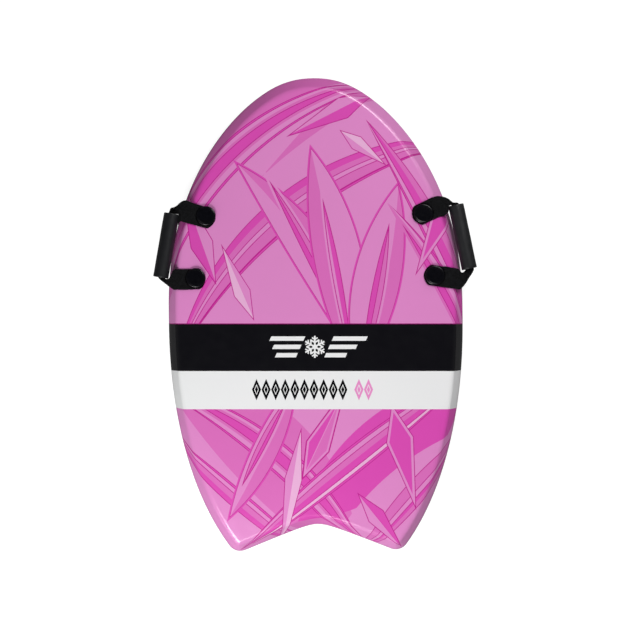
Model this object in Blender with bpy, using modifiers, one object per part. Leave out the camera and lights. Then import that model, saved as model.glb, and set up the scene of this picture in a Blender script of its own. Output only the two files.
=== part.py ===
"""Foam snow slider board with two webbing handles.

The board lies deck up: +Y points to the nose, +X to the rider's right, and
z = 0 is the plane that the slick bottom rests on.  Lengths below are in
millimetres and are turned into metres when meshes are made.
"""
import math

import bmesh
import bpy
import numpy as np
from mathutils import Matrix, Vector

MM = 0.001

# ---------------------------------------------------------------- dimensions
LENGTH = 800.0            # nose to tail corners
WIDTH = 500.0             # widest, a little behind the middle
THICK = 44.0              # board in the middle
THICK_NOSE = 25.0         # board at the nose tip
THICK_TAIL = 33.0         # board at the tail corners
NOSE_KICK = 36.0          # how far the bottom rises at the nose tip
NOSE_KICK_FROM = 190.0    # y where the rise starts
TAIL_KICK = 5.0           # how far the bottom rises at the tail
TAIL_KICK_FROM = -270.0
NOTCH_DEPTH = 44.0        # middle of the tail edge, ahead of the tail corners
TAIL_SLOPE = 0.41         # how fast the tail edge runs back from the notch
NOTCH_ROUND = 20.0
CORNER_ROUND = 22.0       # tail corners in plan
RAIL_INSET = 14.4         # deck edge line to widest point of the rail
RAIL_INSET_NOSE = 18.0
RAIL_DEPTH = 20.0         # of the bevel, less where the board is thin
RAIL_CURVE = ((1.0, 0.0), (0.62, 0.42), (0.10, 0.80), (0.0, 1.10))   # bevel to side

SKIN = 2.0                # printed skin on deck and rails
SLICK = 2.0               # slick bottom sheet
GAP = 0.3                 # between meshes that touch
SEAM = 9.0                # height of the skin's lower edge at mid body

PLUG_FRONT = (183.5, 169.0)
PLUG_REAR = (202.0, 64.5)
DISC_R = 16.5
STUD_R = 4.0
BARREL_R = 7.0
BARREL_BORE = 4.4
FLANGE_R = 17.0
TURN_STEPS = 24

STRAP_W = 35.0
STRAP_T = 2.0
TAIL_CURVE = 11.0         # length over which a strap's cut end is rounded
HINGE_OUT = 20.0          # line where a strap leaves the deck
HINGE_UP = 3.4            # hinge axis above the middle of the webbing
GRIP_OD = 26.4
GRIP_ID = 19.0
GRIP_OUT = 58.3           # grip axis, outboard of the two plugs' line
GRIP_Z = 42.0

DECK_Z = THICK
STRAP_Z = DECK_Z + GAP + STRAP_T / 2
HINGE_Z = STRAP_Z + HINGE_UP

GRID_U = 14               # faces across the board
GRID_V = 20               # faces along the board


# ------------------------------------------------------------------- outline
def bezier(p0, p1, p2, p3, n):
    t = np.linspace(0.0, 1.0, n)[:, None]
    p0, p1, p2, p3 = (np.array(p, float) for p in (p0, p1, p2, p3))
    return ((1 - t) ** 3 * p0 + 3 * t * (1 - t) ** 2 * p1
            + 3 * t * t * (1 - t) * p2 + t ** 3 * p3)


def inward(points):
    """Unit normals of a right-hand outline that runs from nose to notch."""
    d = np.gradient(points, axis=0)
    d /= np.linalg.norm(d, axis=1)[:, None]
    return np.stack([d[:, 1], -d[:, 0]], axis=1)


def half_outline():
    """Right half, nose tip to notch, as a dense polyline."""
    half = WIDTH / 2
    knot = np.array([110.0, 356.0])
    lean = math.radians(39.5)
    along = np.array([math.cos(lean), -math.sin(lean)])
    nose = bezier((0, LENGTH / 2), (37, LENGTH / 2), knot - 54 * along, knot, 160)
    shoulder = bezier(knot, knot + 54 * along, (half, 16 + 200), (half, 16), 400)
    y_wide = -10.0
    straight = np.array([(half, y) for y in np.linspace(15, y_wide, 12)])
    d = np.linspace(1.0, 415.0, 600)
    flank = np.stack([half * np.sqrt(1 - (d / 474.0) ** 2.086), y_wide - d], axis=1)
    side = np.vstack([nose, shoulder[1:], straight, flank])
    x = np.linspace(165.0, 0.0, 500)
    edge = np.stack([x, -LENGTH / 2 + NOTCH_DEPTH
                     - TAIL_SLOPE * (np.sqrt(x * x + NOTCH_ROUND ** 2) - NOTCH_ROUND)],
                    axis=1)
    # round corner: the circle that touches both lines
    r = CORNER_ROUND
    side_in = side + inward(side) * r
    edge_in = edge + inward(edge) * r
    low = side[:, 1] < -300
    gap = np.linalg.norm(side_in[low][:, None] - edge_in[None], axis=2)
    i, j = np.unravel_index(np.argmin(gap), gap.shape)
    i += int(np.argmax(low))
    centre = (side_in[i] + edge_in[j]) / 2
    a0 = math.atan2(*(side[i] - centre)[::-1])
    a1 = math.atan2(*(edge[j] - centre)[::-1])
    arc = np.array([centre + r * np.array([math.cos(a), math.sin(a)])
                    for a in np.linspace(a0, a1, 60)])
    points = np.vstack([side[:i], arc, edge[j + 1:]])
    return points, i + 30


def sample_half():
    """Grid stations on the right half: nose, side and tail runs.

    Each station is (x, y, inward x, inward y).
    """
    pts, corner = half_outline()
    nrm = inward(pts)
    nrm[0] = (0, -1)
    nrm[-1] = (0, 1)
    s = np.concatenate([[0], np.cumsum(np.linalg.norm(np.diff(pts, axis=0), axis=1))])
    top = s[int(np.argmin(abs(pts[:260, 1] - 312)))]
    tail = s[corner]

    def at(where):
        cols = [np.interp(where, s, c) for c in (*pts.T, *nrm.T)]
        out = np.stack(cols, axis=1)
        out[:, 2:] /= np.linalg.norm(out[:, 2:], axis=1)[:, None]
        return out

    def crowd(n, near_end, tight):
        """n + 1 shares of a run, closer together next to the round corner."""
        step = np.ones(n)
        for k, w in enumerate(tight):
            step[-1 - k if near_end else k] = w
        return np.concatenate([[0], np.cumsum(step)]) / step.sum()

    nose = at(top * np.linspace(0, 1, GRID_U // 2 + 1))
    side = at(top + (tail - top) * crowd(GRID_V, True, (0.22, 0.28, 0.45, 0.8)))
    edge = at(tail + (s[-1] - tail) * crowd(GRID_U // 2, False, (0.45, 0.5, 0.8)))
    return nose, side, edge


def full_loop():
    """Stations round the whole board, from the left tail corner anticlockwise
    seen from above: tail, right side, nose, left side."""
    nose, side, edge = sample_half()
    mirror = np.array([-1, 1, -1, 1])
    tail = np.vstack([edge * mirror, edge[::-1][1:]])
    right = side[::-1][1:]
    top = np.vstack([nose[::-1][1:], (nose * mirror)[1:]])
    left = (side * mirror)[1:-1]
    return np.vstack([tail, right, top, left])


LOOP = full_loop()


# --------------------------------------------------------- heights and rails
def bottom_z(y):
    nose = np.clip((y - NOSE_KICK_FROM) / (LENGTH / 2 - NOSE_KICK_FROM), 0, None)
    tail = np.clip((TAIL_KICK_FROM - y) / (LENGTH / 2 + TAIL_KICK_FROM), 0, None)
    return NOSE_KICK * nose ** 1.8 + TAIL_KICK * tail ** 2


def thickness(y):
    nose = np.clip((y - NOSE_KICK_FROM) / (LENGTH / 2 - NOSE_KICK_FROM), 0, None)
    tail = np.clip((TAIL_KICK_FROM - y) / (LENGTH / 2 + TAIL_KICK_FROM), 0, None)
    return THICK - (THICK - THICK_NOSE) * nose ** 1.7 - (THICK - THICK_TAIL) * tail ** 2


def rail_inset(y):
    t = np.clip((y - 120.0) / 230.0, 0, 1)
    return RAIL_INSET + (RAIL_INSET_NOSE - RAIL_INSET) * t * t * (3 - 2 * t)


def ring(kind, value=0.0):
    """One closed line round the board, at the stations of LOOP."""
    x, y, nx, ny = LOOP.T
    if kind == "rail":      # value: from the deck's edge (0) to the side (1)
        t = value
        weights = ((1 - t) ** 3, 3 * t * (1 - t) ** 2, 3 * t * t * (1 - t), t ** 3)
        inset, drop = (sum(w * p[k] for w, p in zip(weights, RAIL_CURVE)) for k in (0, 1))
        inset = inset * rail_inset(y)
        drop = drop * np.minimum(RAIL_DEPTH, 0.68 * thickness(y))
    else:                   # value: (inset, height over the bottom) in mid body
        inset = value[0]
    y_here = y + ny * inset
    thick = thickness(y_here)
    if kind == "rail":
        z = bottom_z(y_here) + thick - drop
    else:
        z = bottom_z(y_here) + value[1] * thick / THICK
    return np.stack([x + nx * inset, y_here, z], axis=1)


def patch(loop_xy, height):
    """Points of a (GRID_U + 1) x (GRID_V + 1) grid inside a closed line."""
    nu, nv = GRID_U, GRID_V
    low = loop_xy[:nu + 1]
    right = loop_xy[nu:nu + nv + 1]
    high = loop_xy[nu + nv:2 * nu + nv + 1][::-1]
    left = np.vstack([loop_xy[2 * nu + nv:], loop_xy[:1]])[::-1]
    out = np.zeros((nu + 1, nv + 1, 3))
    for i in range(nu + 1):
        for j in range(nv + 1):
            u, v = i / nu, j / nv
            p = ((1 - v) * low[i] + v * high[i] + (1 - u) * left[j] + u * right[j]
                 - (1 - u) * (1 - v) * low[0] - u * (1 - v) * low[-1]
                 - (1 - u) * v * high[0] - u * v * high[-1])
            out[i, j, :2] = p
            out[i, j, 2] = height(p[1])
    return out


TOP_RINGS = [("rail", t) for t in (0.34, 0.64, 1.0)]
SEAM_TOP = ("side", (1.6, SEAM + 0.2))
SEAM_LOW = ("side", (1.6, SEAM - 0.2))
LOW_RINGS = [("side", (1.85, 5.8)), ("side", (3.9, 2.4)), ("side", (7.4, 0.6))]
FLOOR_RING = ("side", (12.0, 0.0))


def grid_face(bm, outer, height, flip=False):
    """A grid fitted into the closed line 'outer'; returns its edge vertices."""
    made = bmesh.ops.create_grid(bm, x_segments=GRID_U, y_segments=GRID_V, size=0.5)
    points = patch(outer[:, :2], height)
    table = {}
    for v in made["verts"]:
        i = round((v.co.x + 0.5) * GRID_U)
        j = round((v.co.y + 0.5) * GRID_V)
        v.co = Vector(points[i, j]) * MM
        table[i, j] = v
    if flip:
        bmesh.ops.reverse_faces(bm, faces=list({f for v in made["verts"]
                                                for f in v.link_faces}))
    order = ([(i, 0) for i in range(GRID_U)]
             + [(GRID_U, j) for j in range(GRID_V)]
             + [(i, GRID_V) for i in range(GRID_U, 0, -1)]
             + [(0, j) for j in range(GRID_V, 0, -1)])
    return [table[k] for k in order]


def add_rings(bm, line, rings):
    """Extrude the open edge 'line' through the given rings."""
    for where in rings:
        target = ring(*where)
        edges = [bm.edges.get((a, b)) for a, b in zip(line, line[1:] + line[:1])]
        before = {tuple(round(c, 7) for c in v.co): k for k, v in enumerate(line)}
        made = bmesh.ops.extrude_edge_only(bm, edges=edges)["geom"]
        fresh = [None] * len(line)
        for v in made:
            if isinstance(v, bmesh.types.BMVert):
                fresh[before[tuple(round(c, 7) for c in v.co)]] = v
        for v, p in zip(fresh, target):
            v.co = Vector(p) * MM
        line = fresh
    return line


def deck_surface(bm):
    line = grid_face(bm, ring("rail", 0.0), lambda y: bottom_z(y) + thickness(y))
    return add_rings(bm, line, TOP_RINGS + [SEAM_TOP])


def slick_surface(bm):
    line = grid_face(bm, ring(*FLOOR_RING), bottom_z, flip=True)
    return add_rings(bm, line, LOW_RINGS[::-1] + [SEAM_LOW])


# ------------------------------------------------------------ object helpers
def fresh_collection(name):
    coll = bpy.data.collections.get(name) or bpy.data.collections.new(name)
    if coll.name not in bpy.context.scene.collection.children:
        bpy.context.scene.collection.children.link(coll)
    return coll


for old in list(bpy.data.objects):
    bpy.data.objects.remove(old, do_unlink=True)

PARTS = fresh_collection("snow_slider_board")
CUTTERS = fresh_collection("cutters")


def material(name, colour, roughness, metallic=0.0):
    mat = bpy.data.materials.new(name)
    mat.use_nodes = True
    bsdf = mat.node_tree.nodes["Principled BSDF"]
    bsdf.inputs["Base Color"].default_value = (*colour, 1.0)
    bsdf.inputs["Roughness"].default_value = roughness
    bsdf.inputs["Metallic"].default_value = metallic
    return mat


def new_object(name, mesh, mat=None, coll=None):
    obj = bpy.data.objects.new(name, mesh)
    (coll or PARTS).objects.link(obj)
    if mat:
        mesh.materials.append(mat)
    return obj


def smooth(mesh, angle=35.0):
    mesh.shade_smooth()
    mesh.set_sharp_from_angle(angle=math.radians(angle))


def finish_bmesh(bm, name):
    bmesh.ops.recalc_face_normals(bm, faces=bm.faces[:])
    mesh = bpy.data.meshes.new(name)
    bm.to_mesh(mesh)
    bm.free()
    smooth(mesh)
    return mesh


def turned(name, profile, mat=None, coll=None, steps=TURN_STEPS):
    """A (radius, z) profile in mm turned round the local z axis."""
    mesh = bpy.data.meshes.new(name)
    bm = bmesh.new()
    verts = [bm.verts.new((r * MM, 0.0, z * MM)) for r, z in profile]
    for a, b in zip(verts, verts[1:]):
        bm.edges.new((a, b))
    if profile[0][0] > 0:
        bm.edges.new((verts[-1], verts[0]))
    bm.to_mesh(mesh)
    bm.free()
    obj = new_object(name, mesh, mat, coll)
    mod = obj.modifiers.new("turn", 'SCREW')
    mod.axis = 'Z'
    mod.steps = steps
    mod.render_steps = steps
    mod.use_merge_vertices = True
    mod.merge_threshold = 1e-5
    mod.use_smooth_shade = True
    return obj


def cut(obj, cutter):
    mod = obj.modifiers.new("cut_" + cutter.name, 'BOOLEAN')
    mod.operation = 'DIFFERENCE'
    mod.solver = 'EXACT'
    mod.object = cutter


def empty(name, place, parent=None):
    obj = bpy.data.objects.new(name, None)
    obj.empty_display_size = 0.02
    PARTS.objects.link(obj)
    obj.parent = parent
    base = parent.matrix_world.translation if parent else Vector()
    obj.location = Vector(place) * MM - base
    obj.matrix_world = Matrix.Translation(Vector(place) * MM)
    return obj


# --------------------------------------------------------------------- board
film = material("printed_film", (0.60, 0.13, 0.38), 0.28)
foam = material("white_foam", (0.86, 0.86, 0.84), 0.75)
slick_mat = material("slick_sheet", (0.03, 0.03, 0.035), 0.35)
plug_mat = material("black_plastic", (0.015, 0.015, 0.02), 0.45)
web_mat = material("black_webbing", (0.02, 0.02, 0.022), 0.85)
grip_mat = material("black_foam_rubber", (0.03, 0.03, 0.033), 0.7)

bm = bmesh.new()
deck_surface(bm)
bmesh.ops.recalc_face_normals(bm, faces=bm.faces[:])
if sum(f.normal.z for f in bm.faces) < 0:
    bmesh.ops.reverse_faces(bm, faces=bm.faces[:])
mesh = bpy.data.meshes.new("deck_skin")
bm.to_mesh(mesh)
bm.free()
smooth(mesh)
deck_skin = new_object("deck_skin", mesh, film)
shell = deck_skin.modifiers.new("shell", 'SOLIDIFY')
shell.thickness = SKIN * MM
shell.offset = -1.0
shell.use_even_offset = True

bm = bmesh.new()
slick_surface(bm)
bmesh.ops.recalc_face_normals(bm, faces=bm.faces[:])
if sum(f.normal.z for f in bm.faces) > 0:
    bmesh.ops.reverse_faces(bm, faces=bm.faces[:])
mesh = bpy.data.meshes.new("bottom_slick")
bm.to_mesh(mesh)
bm.free()
smooth(mesh)
bottom_slick = new_object("bottom_slick", mesh, slick_mat)
shell = bottom_slick.modifiers.new("shell", 'SOLIDIFY')
shell.thickness = SLICK * MM
shell.offset = -1.0
shell.use_even_offset = True

# the foam block is the same form, one skin and one gap smaller all round
bm = bmesh.new()
line = grid_face(bm, ring("rail", 0.0), lambda y: bottom_z(y) + thickness(y))
add_rings(bm, line, TOP_RINGS + [("side", (1.6, SEAM))] + LOW_RINGS + [FLOOR_RING])
grid_face(bm, ring(*FLOOR_RING), bottom_z, flip=True)
bmesh.ops.remove_doubles(bm, verts=bm.verts[:], dist=1e-6)
bmesh.ops.recalc_face_normals(bm, faces=bm.faces[:])
bm.normal_update()
shift = {v: v.normal * v.calc_shell_factor() * (SKIN + GAP) * MM for v in bm.verts}
for v, d in shift.items():
    v.co -= d
foam_core = new_object("foam_core", finish_bmesh(bm, "foam_core"), foam)


# --------------------------------------------------------------------- plugs
CAP_PROFILE = [(0, 49.6), (2.2, 49.6), (2.7, 50.1), (11.0, 49.9), (15.2, 49.3),
               (DISC_R, 48.2), (DISC_R, STRAP_Z + STRAP_T / 2 + GAP),
               (STUD_R, STRAP_Z + STRAP_T / 2 + GAP), (STUD_R, 6.0), (0, 6.0)]
BASE_PROFILE = [(0, 4.0), (BARREL_BORE, 4.0), (BARREL_BORE, DECK_Z),
                (BARREL_R, DECK_Z), (BARREL_R, 2.8), (FLANGE_R, 2.8),
                (FLANGE_R, GAP), (0, GAP)]
BORE_PROFILE = [(0, 70.0), (BARREL_R + GAP, 70.0), (BARREL_R + GAP, 2.8 + GAP),
                (FLANGE_R + GAP, 2.8 + GAP), (FLANGE_R + GAP, -5.0), (0, -5.0)]

PLACES = {"front_left": (-PLUG_FRONT[0], PLUG_FRONT[1]),
          "rear_left": (-PLUG_REAR[0], PLUG_REAR[1]),
          "front_right": PLUG_FRONT,
          "rear_right": PLUG_REAR}
for where, (x, y) in PLACES.items():
    spot = Vector((x * MM, y * MM, 0.0))
    turned("plug_cap_" + where, CAP_PROFILE, plug_mat).location = spot
    turned("plug_base_" + where, BASE_PROFILE, plug_mat).location = spot
    bore = turned("bore_" + where, BORE_PROFILE, coll=CUTTERS)
    bore.location = spot
    bore.hide_render = True
    bore.display_type = 'WIRE'
    for board in (deck_skin, foam_core, bottom_slick):
        cut(board, bore)


# ------------------------------------------------------------------- handles
class Side:
    """Plan frame of one handle: p runs forward along the line through its two
    plugs, q runs outboard from that line."""

    def __init__(self, sign):
        self.sign = sign
        front = np.array([sign * PLUG_FRONT[0], PLUG_FRONT[1]])
        rear = np.array([sign * PLUG_REAR[0], PLUG_REAR[1]])
        self.mid = (front + rear) / 2
        self.half = np.linalg.norm(front - rear) / 2
        self.p = (front - rear) / np.linalg.norm(front - rear)
        self.q = np.array([self.p[1], -self.p[0]]) * sign
        if self.q[0] * sign < 0:
            self.q = -self.q

    def world(self, p, q, z):
        xy = self.mid + self.p * p + self.q * q
        return Vector((xy[0], xy[1], z))


def tail_half(a, tail):
    """Half the strap's width at the distance a from the plug: its end is cut
    to a blunt curve."""
    near = max((-a - tail + TAIL_CURVE) / (TAIL_CURVE + 0.15), 0.0)
    return STRAP_W / 2 * (1.0 - near ** 1.6) ** 0.625


def strap_end(name, side, plug_p, lean, aside, tail):
    """Flat webbing under a plug cap, cut square to the handle's hinge line.
    'aside' is how far forward of the plug its middle line lies, and 'tail'
    how far it goes past the plug, towards the middle of the board."""
    b = math.radians(lean)
    e = np.array([math.sin(b), math.cos(b)])      # along the strap, outboard
    f = np.array([math.cos(b), -math.sin(b)])     # across it, forward
    w = STRAP_W / 2
    reach = HINGE_OUT - 0.2
    cut_end = [(back - tail, tail_half(back - tail, tail)) for back in (0.0, 1.0, 3.0, 6.0, 9.0)]
    cut_end.append((TAIL_CURVE - tail, w))
    flat = cut_end + [((reach + (aside + w) * math.sin(b)) / math.cos(b), w),
                      ((reach + (aside - w) * math.sin(b)) / math.cos(b), -w)]
    flat += [(a, -half) for a, half in cut_end[::-1]]
    curve = bpy.data.curves.new(name, 'CURVE')
    curve.dimensions = '2D'
    curve.fill_mode = 'BOTH'
    curve.extrude = STRAP_T / 2 * MM
    spline = curve.splines.new('POLY')
    spline.points.add(len(flat) - 1)
    for point, (a, c) in zip(spline.points, flat):
        p, q = np.array([plug_p, 0.0]) + e * a + f * (aside + c)
        at = side.world(p, q, 0.0) * MM
        point.co = (at.x, at.y, 0.0, 1.0)
    spline.use_cyclic_u = True
    outline = bpy.data.objects.new(name + "_outline", curve)
    outline.location.z = STRAP_Z * MM
    PARTS.objects.link(outline)
    bpy.context.view_layer.update()
    graph = bpy.context.evaluated_depsgraph_get()
    mesh = bpy.data.meshes.new_from_object(outline.evaluated_get(graph))
    mesh.transform(outline.matrix_world)
    bpy.data.objects.remove(outline, do_unlink=True)
    bpy.data.curves.remove(curve)
    bm = bmesh.new()
    bm.from_mesh(mesh)
    bmesh.ops.remove_doubles(bm, verts=bm.verts[:], dist=1e-6)
    bmesh.ops.recalc_face_normals(bm, faces=bm.faces[:])
    bm.to_mesh(mesh)
    bm.free()
    mesh.name = name
    mesh.materials.clear()
    obj = new_object(name, mesh, web_mat)
    hole = side.world(plug_p, 0.0, 0.0)
    drill = turned("eyelet_" + name, [(0, 60), (STUD_R + 0.5, 60), (STUD_R + 0.5, 30), (0, 30)],
                   coll=CUTTERS, steps=16)
    drill.location = hole * MM
    drill.hide_render = True
    drill.display_type = 'WIRE'
    cut(obj, drill)
    return obj


# The webbing between the hinge line and the grip's mouth.  Each station is
# (inner edge p, q, z), (outer edge p, q, z), half thickness; 'inner' is the
# edge that faces the middle of the handle.  It starts flat on the deck, turns
# the corner and is gathered to a narrow bundle that goes into the grip.
LF = [((34.8, 20.2, 45.3), (70.4, 20.2, 45.3), 1.0),
      ((35.6, 28.5, 45.4), (72.0, 29.5, 45.4), 1.0),
      ((36.4, 35.6, 45.6), (73.4, 36.6, 45.5), 1.1),
      ((37.6, 40.4, 46.0), (72.2, 42.0, 45.2), 1.4),
      ((40.6, 43.0, 46.2), (67.3, 47.8, 44.6), 1.8),
      ((47.0, 43.6, 45.8), (62.4, 51.5, 43.6), 2.1),
      ((49.3, 46.8, 44.6), (58.8, 56.0, 42.6), 2.4),
      ((49.3, 50.6, 43.2), (56.6, 61.0, 42.2), 2.6),
      ((48.7, 51.8, 42.6), (51.3, 62.0, 42.0), 2.8)]
LR = [((-41.2, 20.2, 45.3), (-76.8, 20.2, 45.3), 1.0),
      ((-42.6, 28.0, 45.4), (-77.9, 28.0, 45.4), 1.0),
      ((-44.0, 35.8, 45.6), (-78.6, 33.6, 45.5), 1.1),
      ((-48.6, 40.6, 45.8), (-77.0, 37.8, 44.8), 1.5),
      ((-56.4, 42.6, 45.8), (-73.4, 44.8, 43.8), 1.9),
      ((-62.4, 44.8, 45.2), (-69.1, 52.4, 42.8), 2.2),
      ((-64.0, 48.6, 43.8), (-66.1, 58.6, 42.2), 2.6),
      ((-63.3, 51.8, 42.6), (-63.8, 62.6, 42.0), 2.8)]
RF = [((41.2, 20.2, 45.3), (77.6, 20.2, 45.3), 1.0),
      ((42.8, 28.0, 45.4), (78.2, 28.4, 45.4), 1.0),
      ((43.8, 34.6, 45.6), (76.4, 34.8, 45.5), 1.1),
      ((46.8, 40.0, 46.0), (73.7, 41.2, 45.0), 1.5),
      ((51.4, 42.2, 46.0), (69.9, 46.6, 44.2), 1.9),
      ((57.4, 42.6, 45.6), (65.8, 50.0, 43.4), 2.2),
      ((59.9, 46.2, 44.4), (63.3, 52.8, 42.6), 2.6),
      ((59.6, 50.4, 43.0), (61.3, 60.6, 42.0), 2.8)]
RR = [((-41.6, 20.2, 45.3), (-78.7, 20.2, 45.3), 1.0),
      ((-44.5, 28.4, 45.4), (-81.4, 29.0, 45.4), 1.0),
      ((-47.2, 37.6, 45.6), (-84.0, 37.2, 45.5), 1.1),
      ((-51.6, 42.2, 45.8), (-80.8, 43.0, 44.8), 1.5),
      ((-57.0, 45.2, 45.4), (-74.6, 50.0, 43.6), 1.9),
      ((-57.6, 48.6, 44.2), (-68.4, 56.4, 42.8), 2.2),
      ((-56.2, 51.4, 43.2), (-62.2, 62.0, 42.2), 2.6),
      ((-54.2, 52.8, 42.6), (-55.2, 66.0, 42.0), 2.8)]
GRIP_ENDS = {"left": (47.6, -62.0), "right": (57.8, -52.7)}
GRIP_TURN = {"left": 0.35, "right": 1.35}      # degrees, front end inboard
LEANS = {"left": (5.4, -12.4), "right": (15.0, -19.6)}      # front, rear
ASIDE = {"left": (-2.5, -1.7), "right": (0.9, -0.3)}
TAILS = {"left": (17.0, 16.7), "right": (19.1, 18.8)}
SECTION = 12              # points round the webbing's section


def section_points(inner, outer, half_t):
    """A rounded flat section between two edges, as a ring of 3-D points."""
    a, b = Vector(inner), Vector(outer)
    across = b - a
    mid, half_w = (a + b) / 2, across.length / 2
    w = across.normalized()
    n = w.cross(Vector((w.y, -w.x, 0.0)).normalized())
    if n.z < 0:
        n = -n
    out = []
    for k in range(SECTION):
        t = 2 * math.pi * (k + 0.5) / SECTION
        c, s = math.cos(t), math.sin(t)
        x = math.copysign(abs(c) ** 0.45, c)
        y = math.copysign(min(1.0, abs(s) ** 0.30 * 1.05), s)
        out.append(mid + w * (half_w * x) + n * (half_t * y))
    return out


def grip_line(label, p):
    """How far outboard the grip's axis is at p."""
    middle = sum(GRIP_ENDS[label]) / 2
    return GRIP_OUT - (p - middle) * math.tan(math.radians(GRIP_TURN[label]))


def strap_loop(name, side, front, rear, label):
    f_end, r_end = GRIP_ENDS[label]
    rows = list(front)
    for p in np.linspace(f_end - 6.0, r_end + 6.0, 5):
        q = grip_line(label, p)
        rows.append(((p, q - 7.0, GRIP_Z), (p, q + 7.0, GRIP_Z), 2.8))
    rows += list(rear)[::-1]
    bm = bmesh.new()
    loops = []
    for inner, outer, half_t in rows:
        ring_pts = section_points(inner, outer, half_t)
        loops.append([bm.verts.new(side.world(*pt) * MM) for pt in ring_pts])
    for a, b in zip(loops, loops[1:]):
        for k in range(SECTION):
            m = (k + 1) % SECTION
            bm.faces.new((a[k], a[m], b[m], b[k]))
    bm.faces.new(loops[0])
    bm.faces.new(loops[-1][::-1])
    return finish_bmesh(bm, name)


def grip_axis(side, label):
    turn = math.radians(GRIP_TURN[label])
    xy = side.p * math.cos(turn) - side.q * math.sin(turn)
    return Vector((xy[0], xy[1], 0.0))


def grip_tube(name, side, label):
    f_end, r_end = GRIP_ENDS[label]
    length = f_end - r_end
    h, ro, ri, c = length / 2, GRIP_OD / 2, GRIP_ID / 2, 0.8
    profile = [(ri, h - c), (ri + c, h), (ro - c, h), (ro, h - c),
               (ro, c - h), (ro - c, -h), (ri + c, -h), (ri, c - h)]
    obj = turned(name, profile, grip_mat)
    obj.rotation_mode = 'QUATERNION'
    obj.rotation_quaternion = grip_axis(side, label).to_track_quat('Z', 'Y')
    return obj, side.world((f_end + r_end) / 2, GRIP_OUT, GRIP_Z)


for label, sign, front, rear in (("left", -1, LF, LR), ("right", 1, RF, RR)):
    side = Side(sign)
    for k, (end, plug_p) in enumerate((("front", side.half), ("rear", -side.half))):
        strap_end("strap_end_%s_%s" % (end, label), side, plug_p,
                  LEANS[label][k], ASIDE[label][k], TAILS[label][k])
    hinge = empty(label + "_handle_axis", side.world(0.0, HINGE_OUT, HINGE_Z))
    mesh = strap_loop("strap_loop_" + label, side, front, rear, label)
    mesh.transform(Matrix.Translation(-hinge.matrix_world.translation))
    loop = new_object("strap_loop_" + label, mesh, web_mat)
    loop.parent = hinge
    tube, centre = grip_tube("grip_tube_" + label, side, label)
    spin = empty(label + "_grip_axis", centre, hinge)
    tube.parent = spin
    tube.location = (0.0, 0.0, 0.0)

bpy.context.view_layer.update()
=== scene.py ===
"""Looks of the foam snow slider board: film print, webbing, grips and plugs.

Lengths are in millimetres until a mesh is made.  +Y is the nose, +X the
rider's right, and z = 0 is the plane that the bottom rests on.
"""

import math

import bmesh
import bpy
import numpy as np
from mathutils import Matrix, Vector


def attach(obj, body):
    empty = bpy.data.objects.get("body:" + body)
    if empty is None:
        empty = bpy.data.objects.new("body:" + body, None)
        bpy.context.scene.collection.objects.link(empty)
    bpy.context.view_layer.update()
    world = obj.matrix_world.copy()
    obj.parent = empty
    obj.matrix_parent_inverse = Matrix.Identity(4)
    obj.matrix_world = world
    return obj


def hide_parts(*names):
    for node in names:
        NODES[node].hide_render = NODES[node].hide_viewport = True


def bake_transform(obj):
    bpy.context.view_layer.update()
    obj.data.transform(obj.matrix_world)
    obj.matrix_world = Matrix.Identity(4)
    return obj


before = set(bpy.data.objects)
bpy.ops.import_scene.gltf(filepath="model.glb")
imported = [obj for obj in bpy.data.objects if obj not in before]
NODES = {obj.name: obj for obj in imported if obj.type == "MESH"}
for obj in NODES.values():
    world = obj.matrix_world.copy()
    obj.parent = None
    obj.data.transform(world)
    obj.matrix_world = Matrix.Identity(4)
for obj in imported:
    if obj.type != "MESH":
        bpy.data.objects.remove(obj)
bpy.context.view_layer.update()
MM = 0.001

# ------------------------------------------------ dimensions, as in the CAD
LENGTH, WIDTH = 800.0, 500.0
THICK, THICK_NOSE, THICK_TAIL = 44.0, 25.0, 33.0
NOSE_KICK, NOSE_KICK_FROM = 36.0, 190.0
TAIL_KICK, TAIL_KICK_FROM = 5.0, -270.0
NOTCH_DEPTH, TAIL_SLOPE, NOTCH_ROUND, CORNER_ROUND = 44.0, 0.41, 20.0, 22.0
RAIL_INSET, RAIL_INSET_NOSE = 14.4, 18.0
RAIL_CURVE = ((1.0, 0.0), (0.62, 0.42), (0.10, 0.80), (0.0, 1.10))   # bevel to side
RAIL_DEPTH = 20.0
SKIN, SLICK, GAP, SEAM = 2.0, 2.0, 0.3, 9.0
PLUG_FRONT, PLUG_REAR = (183.5, 169.0), (202.0, 64.5)
DISC_R, STUD_R, BARREL_R, BARREL_BORE, FLANGE_R = 16.5, 4.0, 7.0, 4.4, 17.0
STRAP_W, STRAP_T, TAIL_CURVE = 35.0, 2.0, 11.0
HINGE_OUT, HINGE_UP = 20.0, 3.4
GRIP_OD, GRIP_ID, GRIP_OUT, GRIP_Z = 26.4, 19.0, 58.3, 42.0
STRAP_Z = THICK + GAP + STRAP_T / 2
HINGE_Z = STRAP_Z + HINGE_UP

GRID_U, GRID_V = 48, 76   # faces across and along the board


# ------------------------------------------------------------------- outline
def bezier(p0, p1, p2, p3, n):
    t = np.linspace(0.0, 1.0, n)[:, None]
    p0, p1, p2, p3 = (np.array(p, float) for p in (p0, p1, p2, p3))
    return ((1 - t) ** 3 * p0 + 3 * t * (1 - t) ** 2 * p1
            + 3 * t * t * (1 - t) * p2 + t ** 3 * p3)


def inward(points):
    d = np.gradient(points, axis=0)
    d /= np.linalg.norm(d, axis=1)[:, None]
    return np.stack([d[:, 1], -d[:, 0]], axis=1)


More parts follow.
